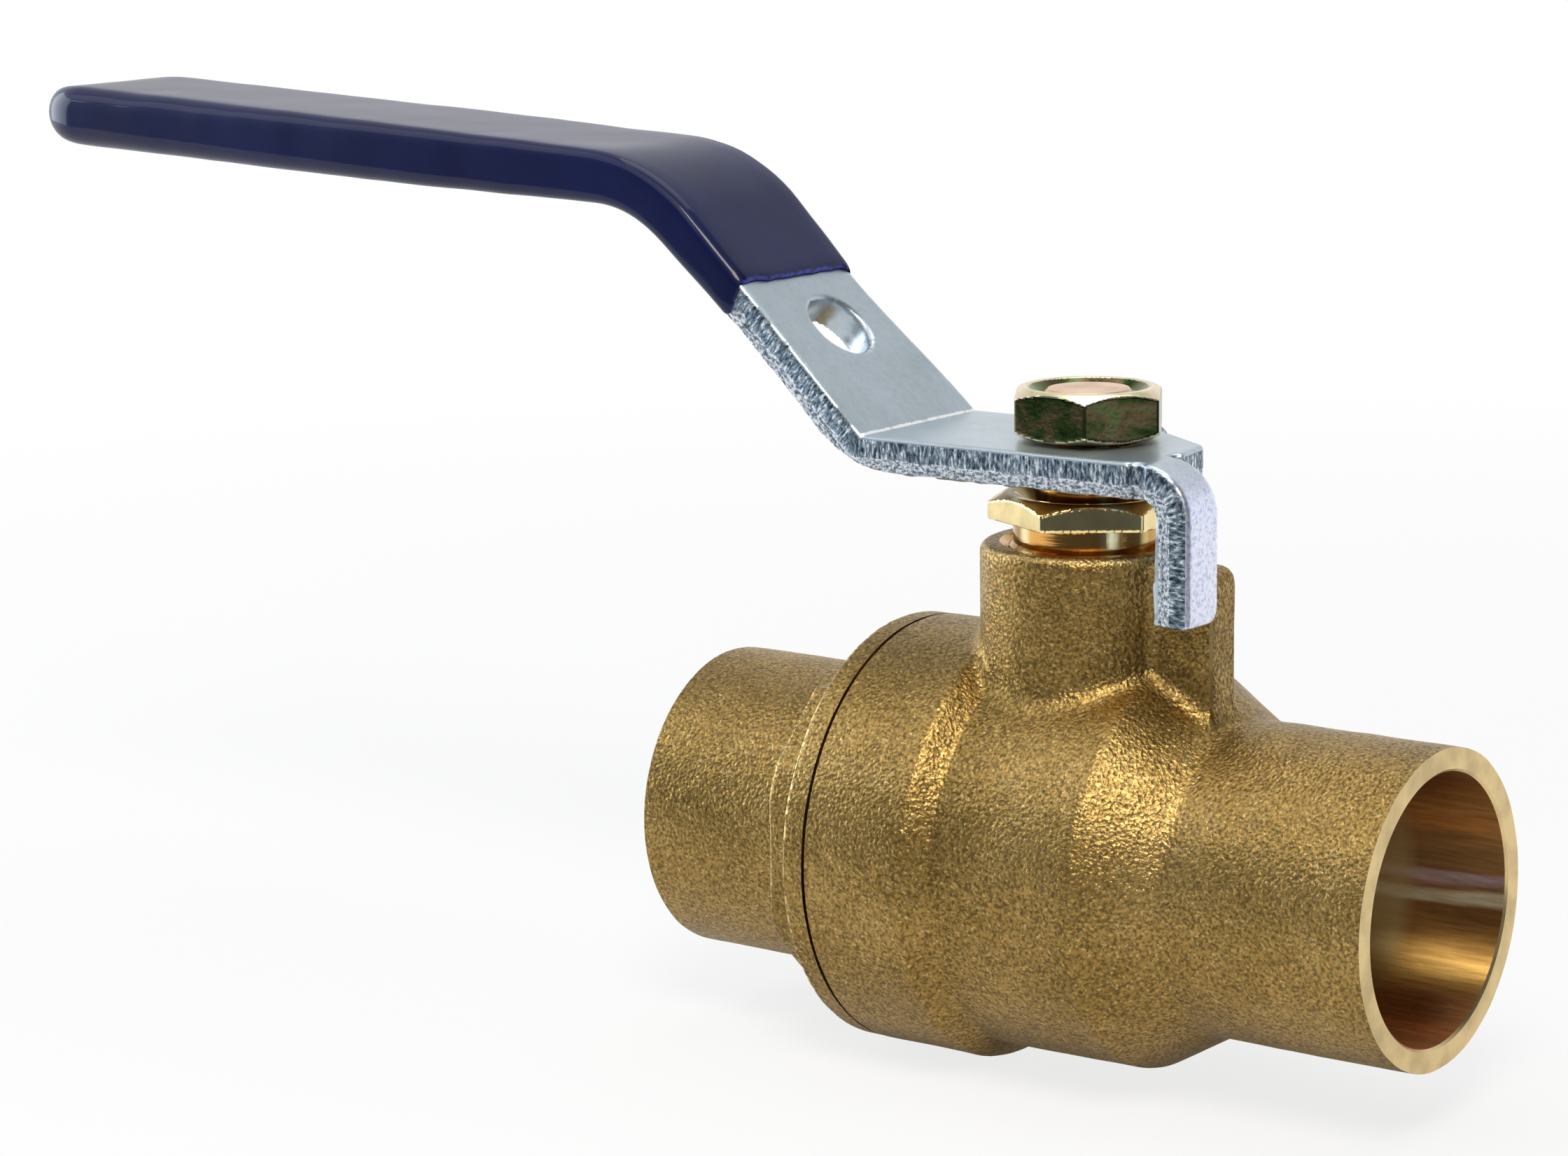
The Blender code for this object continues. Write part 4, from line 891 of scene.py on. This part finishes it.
# %% Outline of the strap
TIP_ROUND = 6.2
NOTCHES = ((9.9, -8.6, 0.75), (10.6, -3.0, 0.8))
SIDE_TAB_X, SIDE_TAB_HALF = -3.0, 2.35


def strap_outline(p):
    """Distance outside the punched outline: edges, cut corner, open tab and its notches."""
    x, y, z = p.T
    widen = np.clip((x + 29.07) / 12.07, 0.0, 1.0)
    widen = widen * widen * (3 - 2 * widen)
    near = trim(-8.2 - 0.3 * widen - y, TIP_X - x, TIP_ROUND)
    far = trim(y - 7.0 - 1.5 * widen, TIP_X - x, TIP_ROUND)
    corner = (x - 1.0) * 0.568 + (y - 8.5) * 0.823
    end = (x - 9.7) * 0.987 + (y - 2.5) * 0.161
    plate = np.maximum(trim(trim(far, corner, 1.0), end, 0.6), near)
    end_edge = TAB_END_Z - z
    strip = np.maximum(trim(near, end_edge, 0.4), trim(y + 3.8, end_edge, 1.3))
    whole = np.minimum(plate, np.maximum(strip, 9.0 - x))
    for notch_x, notch_y, radius in NOTCHES:
        whole = np.maximum(whole, radius - np.hypot(x - notch_x, y - notch_y))
    return whole


def punched(outline, upper, under, p):
    """Join outline and faces as a punch leaves them: rolled, burnished, then torn."""
    depth = np.clip(-upper, 0.0, THICK)
    tear = np.clip((depth - 1.75 - 0.22 * wobble(p, 1.1, 21)) / 0.25, 0.0, 1.0)
    rough = 0.03 * wobble(p, 0.55, 22) + 0.03 * wobble(p, 1.3, 23)
    outline = outline + tear * (0.05 + rough)
    edge = np.exp(-(np.minimum(outline, 0.0) / 0.6) ** 2)
    burr = 0.32 * np.clip((31.0 - p[:, 2]) / 3.0, 0.0, 1.0) * (p[:, 0] > 9.0) * (p[:, 1] < -5.5)
    under = under + edge * (0.03 + 0.08 * wobble(p, 1.0, 24) - burr)
    return trim(trim(outline, upper, 0.42), under, 0.12), tear


# %% The whole lever
HANG_UP, HANG_Y, HANG_R = 11.4, 0.2, 3.1
STEM_HOLE_R, STEM_HOLE_HALF = 4.2, 3.4
NOWHERE = -9.0


def lever_rule(p):
    """The strap with its holes, and the stop tab on its far side."""
    upper, under = strap_faces(p)
    x, y, z = p.T
    up = -(x - BEND_X) * math.cos(RAMP) + (z - HEAD_TOP) * math.sin(RAMP)
    hang = np.where(x < BEND_X - 2.0, HANG_R - np.hypot(up - HANG_UP, y - HANG_Y), NOWHERE)
    stem = -np.maximum(around_z(p) - STEM_HOLE_R, np.abs(y) - STEM_HOLE_HALF)
    holes = np.maximum(hang, np.where(z < 37.0, stem, NOWHERE))
    strap = punched(np.maximum(strap_outline(p), holes), upper, under, p)[0]
    flat = z - HEAD_TOP
    side_upper = trim(flat, y - TAB_X, TAB_OUT_R)
    side_under = blend(-flat - THICK, TAB_X - THICK - y, TAB_IN_R)
    side = trim(np.abs(x - SIDE_TAB_X) - SIDE_TAB_HALF, TAB_END_Z - z, 0.8)
    side_tab = punched(np.maximum(side, 6.5 - y), side_upper, side_under, p)[0]
    return blend(strap, side_tab, 0.25)


lever = skin("zinc_lever", lever_rule, (TIP_X - 1.0, -9.4, TAB_END_Z - 0.8),
             (TAB_X + 0.8, 15.6, 61.5), 0.28)
report(lever)


# %% Tell the finish where the punched edge is
def lever_faces(c):
    """0 rolled sheet, 1 punched edge."""
    upper, under = strap_faces(c)
    on_edge = (upper < -0.3) & (under < -0.1) & (strap_outline(c) > -0.16)
    on_side_tab = np.abs(np.abs(c[:, 0] - SIDE_TAB_X) - SIDE_TAB_HALF) < 0.16
    on_side_tab |= c[:, 2] < TAB_END_Z + 0.16
    return (on_edge | (on_side_tab & (c[:, 1] > 9.5))).astype(int)


points = corners_of(lever)
upper_gap, under_gap = strap_faces(points)
mark(lever, "shear", np.stack([strap_length(points), points[:, 1], -upper_gap], axis=1))
mark(lever, "fracture", punched(strap_outline(points), upper_gap, under_gap, points)[1])
dress(lever, [zinc_plate, sheared_zinc], lever_faces)
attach(lever, "lever_body")
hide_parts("lever")

# %% [markdown]
# ## The grip
#
# The handle is heated and dipped in liquid vinyl, so the grip is a skin that follows the strap.
# It is thin at the dip line, where the vinyl drained, and thicker at the tip, where it gathered.
# A loft suits it: rounded sections that follow the strap's middle, drawn in at the tip. The dip
# line leans, because the lever went into the bath at a slant and the vinyl ran back.

# %% The path down the middle of the strap
BEND_R = 14.8
TURN = RAMP - HANDLE


def ways(angle):
    """Directions along and across the strap in (x, z), where it climbs at this angle."""
    c, s = math.cos(angle), math.sin(angle)
    return np.array([-c, s]), np.array([s, c])


UP_RAMP, OFF_RAMP = ways(RAMP)
FOOT = np.array([BEND_X, HEAD_TOP]) - THICK / 2 * OFF_RAMP
CORNER = np.array([TURN_X, TURN_Z]) - THICK / 2 / math.cos(TURN / 2) * ways(HANDLE + TURN / 2)[1]
CURVE_S = np.linalg.norm(CORNER - FOOT) - BEND_R * math.tan(TURN / 2)
CENTRE = FOOT + UP_RAMP * CURVE_S - BEND_R * OFF_RAMP


def handle_path(s):
    """Point, direction along and direction across, at a distance up the ramp from the bend."""
    along, across = ways(RAMP - min(max((s - CURVE_S) / BEND_R, 0.0), TURN))
    if s < CURVE_S:
        return FOOT + UP_RAMP * s, along, across
    on_handle = max(s - CURVE_S - BEND_R * TURN, 0.0)
    return CENTRE + BEND_R * across + along * on_handle, along, across


def path_end(tip_x):
    """Distance along the path where it reaches tip_x."""
    low, high = 0.0, 200.0
    while high - low > 0.001:
        middle = (low + high) / 2
        low, high = (middle, high) if handle_path(middle)[0][0] > tip_x else (low, middle)
    return low


print("length of the path to the tip:", round(path_end(TIP_X), 1), "mm")

# %% Forms of the vinyl and of the room for the strap inside it
GRIP_MIDDLE = -0.6
HALF_STRAP, HALF_HANDLE = 1.5, 7.6
DIP_S = 17.0
TIP_WALL = 1.05
VINYL = {"end": path_end(TIP_X - 0.3 - TIP_WALL), "wall": (1.05, 1.35), "side": 0.8,
         "tip_round": 7.0, "drop": 8.0, "edge": 1.05}
HOLLOW = {"end": VINYL["end"] - TIP_WALL, "wall": (0.12, 0.12), "side": 0.1,
          "tip_round": 6.4, "drop": 0.4, "edge": 0.35}


def section(half_w, half_t, radius):
    """A rounded rectangle as (y, t) points: 7 on each corner, 9 or 2 more on each flat."""
    radius = min(radius, half_w * 0.98, half_t * 0.98)

    def on_corner(quarter, share):
        sy, st = ((1, 1), (-1, 1), (-1, -1), (1, -1))[quarter % 4]
        a = math.pi / 2 * (quarter + share)
        return (sy * (half_w - radius) + radius * math.cos(a),
                st * (half_t - radius) + radius * math.sin(a))

    points = []
    for quarter, steps in enumerate((10, 3, 10, 3)):
        points += [on_corner(quarter, k / 6) for k in range(7)]
        last, aim = points[-1], on_corner(quarter + 1, 0)
        points += [tuple(a + (b - a) * (k / steps) for a, b in zip(last, aim))
                   for k in range(1, steps)]
    return points


def grip_ring(s, tight, form):
    """One section of the sleeve; tight is the share of the wall that is there."""
    short = form["end"] - s
    share = np.clip((s - 35.0) / (form["end"] - 35.0), 0.0, 1.0)
    thin_wall, thick_wall = form["wall"]
    half_t = HALF_STRAP + thin_wall + (thick_wall - thin_wall) * share
    half_w = HALF_HANDLE + form["side"]
    tip_round, drop = form["tip_round"], form["drop"]
    if short < tip_round:
        half_w += math.sqrt(tip_round ** 2 - (tip_round - short) ** 2) - tip_round
    if short < drop:
        half_t *= 0.12 + 0.88 * math.sqrt(1 - (1 - short / drop) ** 2)
    slim = (1 - tight) * thin_wall
    return section(max(half_w - slim, 0.3), max(half_t - slim, 0.2), form["edge"] * (1 + share))


# %% Loft the sleeve
def dip_line(y, t):
    """How far up the ramp the vinyl ends, round the strap."""
    side = np.clip((-y - 6.6) / 2.4, 0.0, 1.0)
    far = np.clip((y - 6.4) / 2.0, 0.0, 1.0)
    level = 17.15 + 0.25 * math.exp(-((y + 6.0) / 1.6) ** 2) + 0.06 * math.sin(2.1 * y)
    level -= 0.95 * side * np.clip((1.95 - t) / 1.5, 0.0, 2.3) + 1.1 * far
    return level - 0.3 * np.clip(0.5 - t, 0.0, 1.0) * (1 - side)


def lofted(name, rings):
    """Skin rings of equal count, and close both ends."""
    total, count = rings.shape[:2]
    faces = []
    for r in range(total - 1):
        for k in range(count):
            m = (k + 1) % count
            faces.append((r * count + k, r * count + m, (r + 1) * count + m,
                          (r + 1) * count + k))
    faces.append(tuple(range(count))[::-1])
    faces.append(tuple((total - 1) * count + k for k in range(count)))
    return face_out(mesh_object(name, rings.reshape(-1, 3), faces))


def sweep(name, stations, form, dipped):
    """Rings along the path; dipped vinyl ends at the dip line, sags and is a little lumpy."""
    rings = []
    for s, tight in stations:
        lag = max(0.0, 1.0 - (s - stations[0][0]) / 6.0)
        ring = []
        for y, t in grip_ring(s, tight, form):
            at = s + (dip_line(y, t) - stations[0][0]) * lag ** 2 if dipped else s
            place, along, across = handle_path(at)
            if dipped and t < 0:
                t += 0.28 * (1 - min((at - DIP_S) / 40.0, 1.0)) * min(-t / 2.5, 1.0)
            x, z = place + across * t
            ring.append((x, y + GRIP_MIDDLE, z))
        rings.append(ring)
    rings = np.array(rings)
    if dipped:
        flat = rings.reshape(-1, 3)
        swell = 0.05 * wobble(flat, 6.0, 31) + 0.025 * wobble(flat, 2.4, 32)
        for ring, share, (s, tight) in zip(rings, swell.reshape(rings.shape[:2]), stations):
            middle, along, across = handle_path(s)
            out = np.sign((ring[:, [0, 2]] - middle) @ across) * share
            ring[:, 0] += across[0] * out
            ring[:, 2] += across[1] * out
            ring[:, 1] += np.sign(ring[:, 1] - GRIP_MIDDLE) * share
    return lofted(name, rings)


def tip_stations(form, length, count):
    """Stations that crowd towards the tip, so that its rounding is smooth."""
    return [(form["end"] - length * (1 - math.sin(a)), 1.0)
            for a in np.linspace(0.0, math.pi / 2, count)]


lip = [(DIP_S, 0.04), (17.03, 0.2), (17.08, 0.32), (17.2, 0.42), (17.6, 0.5)]
body_run = [(s, float(np.interp(s, (17.6, 26.0, 55.0), (0.5, 0.72, 1.0))))
            for s in np.arange(18.6, VINYL["end"] - 7.0, 0.9)]
grip = sweep("vinyl_grip", lip + body_run + tip_stations(VINYL, 7.0, 20), VINYL, True)
hollow = [(s, 1.0) for s in (12.0, 20.0, *np.arange(22.0, HOLLOW["end"] - 6.5, 2.5))]
cut(grip, sweep("hollow", hollow + tip_stations(HOLLOW, 6.4, 9), HOLLOW, False))

# %% Mark the thin edge and finish the grip
places = corners_of(grip)
out = places[:, [0, 2]] - FOOT
ends = np.array([dip_line(y, t) for y, t in zip(places[:, 1] - GRIP_MIDDLE, out @ OFF_RAMP)])
thinness = np.clip(1 - (out @ UP_RAMP - ends) / 0.45, 0.0, 1.0) * (places[:, 0] > -36.0)
mark(grip, "thin", thinness)
dress(grip, [blue_vinyl])
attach(grip, "lever_body")
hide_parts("grip")
report(grip)

# %% [markdown]
# ## Threads
#
# A screw thread is a ridge that climbs round a shank. It follows a rule, so Geometry Nodes make
# it: a spiral curve, swept with a small diamond. Half of the diamond sinks into the shank, and
# the other half is the ridge. The same tree serves every thread, with other numbers.


# %% A thread as a node tree
def thread_tree():
    """Spiral, swept with a diamond, made real."""
    tree = bpy.data.node_groups.new("thread_ridge", "GeometryNodeTree")
    for title, kind in (("Radius", "Float"), ("Height", "Float"), ("Turns", "Float"),
                        ("Ridge", "Float"), ("Metal", "Material")):
        tree.interface.new_socket(name=title, in_out="INPUT", socket_type="NodeSocket" + kind)
    tree.interface.new_socket(name="Geometry", in_out="OUTPUT",
                              socket_type="NodeSocketGeometry")
    n = Nodes(tree, "")
    given = n.add("NodeGroupInput").outputs
    spiral = n.add("GeometryNodeCurveSpiral", {
        "Resolution": 40, "Start Radius": given["Radius"], "End Radius": given["Radius"],
        "Height": given["Height"], "Rotations": given["Turns"]})
    standing = n.add("GeometryNodeSetCurveNormal", {"Curve": spiral.outputs[0]}, mode="Z_UP")
    diamond = n.add("GeometryNodeCurvePrimitiveCircle", {"Resolution": 4,
                                                         "Radius": given["Ridge"]})
    ridge = n.add("GeometryNodeCurveToMesh", {
        "Curve": standing.outputs[0], "Profile Curve": diamond.outputs["Curve"],
        "Fill Caps": True})
    real = n.add("GeometryNodeRealizeInstances", {"Geometry": ridge.outputs[0]})
    metal = n.add("GeometryNodeSetMaterial", {"Geometry": real.outputs[0],
                                              "Material": given["Metal"]})
    n.add("NodeGroupOutput", {"Geometry": metal.outputs[0]})
    return tree


THREAD = thread_tree()
PITCH = 1.0


def thread_ridge(radius, low, high):
    """One ridge about Z between two heights, as a closed mesh object."""
    holder = mesh_object("ridge", np.zeros((1, 3)), [])
    step = holder.modifiers.new("thread", "NODES")
    step.node_group = THREAD
    sizes = {"Radius": radius * MM, "Height": (high - low) * MM, "Turns": (high - low) / PITCH,
             "Ridge": 0.42 * PITCH * MM, "Metal": shank_brass}
    for socket in THREAD.interface.items_tree:
        if socket.in_out == "INPUT":
            step[socket.identifier] = sizes[socket.name]
    apply_step(holder)
    holder.data.transform(Matrix.Translation((0.0, 0.0, low * MM)))
    return face_out(holder, 1e-6)


# %% [markdown]
# ## Gland, stem and lever nut
#
# Hexagons are bright drawn bar, turned and parted off, and the chamfer cone cuts an arc across
# the top of each flat. A rule gives the hexagon, the cone and the slightly broken edges at once,
# where a bevelled six-sided prism would miss the arcs.


# %% A hexagon with chamfered faces
CHAMFER = math.radians(30.0)


def hexagon_rule(p, flats, low, high, first, cones):
    """A hexagon about Z; first is the angle of a corner, cones are its chamfer radii."""
    around, z = around_z(p), p[:, 2]
    sides = None
    for k in range(3):
        turn = first + math.radians(30.0 + 60.0 * k)
        side = np.abs(p[:, 0] * math.cos(turn) + p[:, 1] * math.sin(turn)) - flats / 2
        sides = trim(sides, side, 0.22, math.radians(60.0)) if k else side
    whole = trim(trim(sides, z - high, 0.08), low - z, 0.08)
    above = (around - cones[0]) * math.sin(CHAMFER) + (z - high) * math.cos(CHAMFER)
    below = (around - cones[1]) * math.sin(CHAMFER) + (low - z) * math.cos(CHAMFER)
    return trim(trim(whole, above, 0.07), below, 0.07)


# %% Packing gland
GLAND_LOW, GLAND_TOP, GLAND_CONE_R = 28.45, 30.7, 6.9
GLAND_HOLE_R = 4.8
HALF_TURN = math.sqrt(0.5)


def gland_rule(p):
    """Hexagon, round shank, stem hole and its countersink."""
    around, z = around_z(p), p[:, 2]
    head = hexagon_rule(p, 14.5, GLAND_LOW, GLAND_TOP, math.radians(35.0), (GLAND_CONE_R, 9.5))
    shank = np.maximum(trim(around - 6.25, 24.35 - z, 0.35), z - 29.5)
    sink = (around - GLAND_HOLE_R) * HALF_TURN - (z - 29.3) * HALF_TURN
    hole = np.minimum(around - GLAND_HOLE_R, sink)
    return trim(blend(head, shank, 0.12), -hole, 0.08)


gland = skin("gland", gland_rule, (-8.8, -8.8, 23.9), (8.8, 8.8, 31.2), 0.17)
cut(gland, thread_ridge(6.18, 24.9, 26.5), "UNION")


def gland_faces(c):
    """0 turned, 1 drawn flats."""
    around, z = around_z(c), c[:, 2]
    cone = (around - GLAND_CONE_R) * 0.5 + (z - GLAND_TOP) * 0.866 > -0.06
    return ((around > 6.6) & (z > GLAND_LOW + 0.05) & (z < GLAND_TOP - 0.04) & ~cone).astype(int)


dress(gland, [shank_brass, drawn_brass], gland_faces)
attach(gland, "housing")
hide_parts("packing_gland")
report(gland)

# %% Lever nut
NUT_LOW, NUT_TOP, NUT_CONE_R = 35.3, 39.5, 5.55
NUT_HOLE_R, NUT_SINK_R = 4.2, 5.0


def nut_rule(p):
    """Hexagon with a chamfered hole."""
    around, z = around_z(p), p[:, 2]
    whole = hexagon_rule(p, 11.8, NUT_LOW, NUT_TOP, 0.0, (NUT_CONE_R, NUT_CONE_R))
    sink = around - NUT_SINK_R + np.minimum(NUT_TOP - z, z - NUT_LOW)
    hole = np.minimum(around - NUT_HOLE_R, sink * 0.707)
    return trim(whole, -hole, 0.1)


nut = skin("hex_nut", nut_rule, (-7.2, -7.2, 34.9), (7.2, 7.2, 39.9), 0.14)


def nut_faces(c):
    """0 flats, 1 turned ends, chamfers and hole."""
    around, from_middle = around_z(c), np.abs(c[:, 2] - (NUT_LOW + NUT_TOP) / 2)
    half = (NUT_TOP - NUT_LOW) / 2
    end = (from_middle > half - 0.1) & (around > 4.95)
    cone = (around - NUT_CONE_R) * 0.5 + (from_middle - half) * 0.866 > -0.07
    return (end | (cone & (around > 5.2))).astype(int)


dress(nut, [nut_flats, nut_ends], nut_faces)
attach(nut, "lever_body")
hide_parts("lever_nut")
report(nut)

# %% [markdown]
# The stem is turned from bar, threaded at its top, and milled with two flats that carry the
# lever and a tang that sits in the ball's slot. Only its sawn top end shows, so the rest is a
# plain turned solid with the same cuts.

# %% Stem
stem = turned("threaded_stem", [
    (0, 39.22), (2.9, 39.3), (3.35, 39.3), (3.85, 38.8), (3.85, 31.7), (4.35, 31.7),
    (4.5, 31.55), (4.5, 16.6), (6.4, 16.6), (6.6, 16.4), (6.6, 14.4), (0, 14.4)], 96)
cut(stem, thread_ridge(3.72, 35.6, 38.9), "UNION")
BOX_FACES = [(0, 1, 3, 2), (4, 6, 7, 5), (0, 4, 5, 1), (2, 3, 7, 6), (0, 2, 6, 4), (1, 5, 7, 3)]
for side in (-1, 1):
    box = [(x, side * y, z) for x in (-6, 6) for y in (3.1, 6) for z in (31.7, 35.3)]
    cut(stem, face_out(mesh_object("flat", box, BOX_FACES)))


def tang_rule(p):
    return box_rule(p, (-2.2, -4.8, 10.7), (2.2, 4.8, 15.2), 0.9)


cut(stem, skin("tang", tang_rule, (-2.8, -5.4, 10.2), (2.8, 5.4, 15.8), 0.3), "UNION")
dress(stem, [shank_brass, end_brass], lambda c: (c[:, 2] > 38.7).astype(int))
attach(stem, "lever_body")
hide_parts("stem")
report(stem)

# %% Ball, seats, seals and packing keep their turned CAD forms
RINGS = ("body_seat", "end_seat", "body_seal", "thrust_washer", "lower_packing", "upper_packing")
for name in ("ball", *RINGS):
    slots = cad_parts[name].data.materials
    slots.clear()
    slots.append(ring_plastic if name in RINGS else chrome)
print("CAD nodes shown with new finishes:", 1 + len(RINGS))
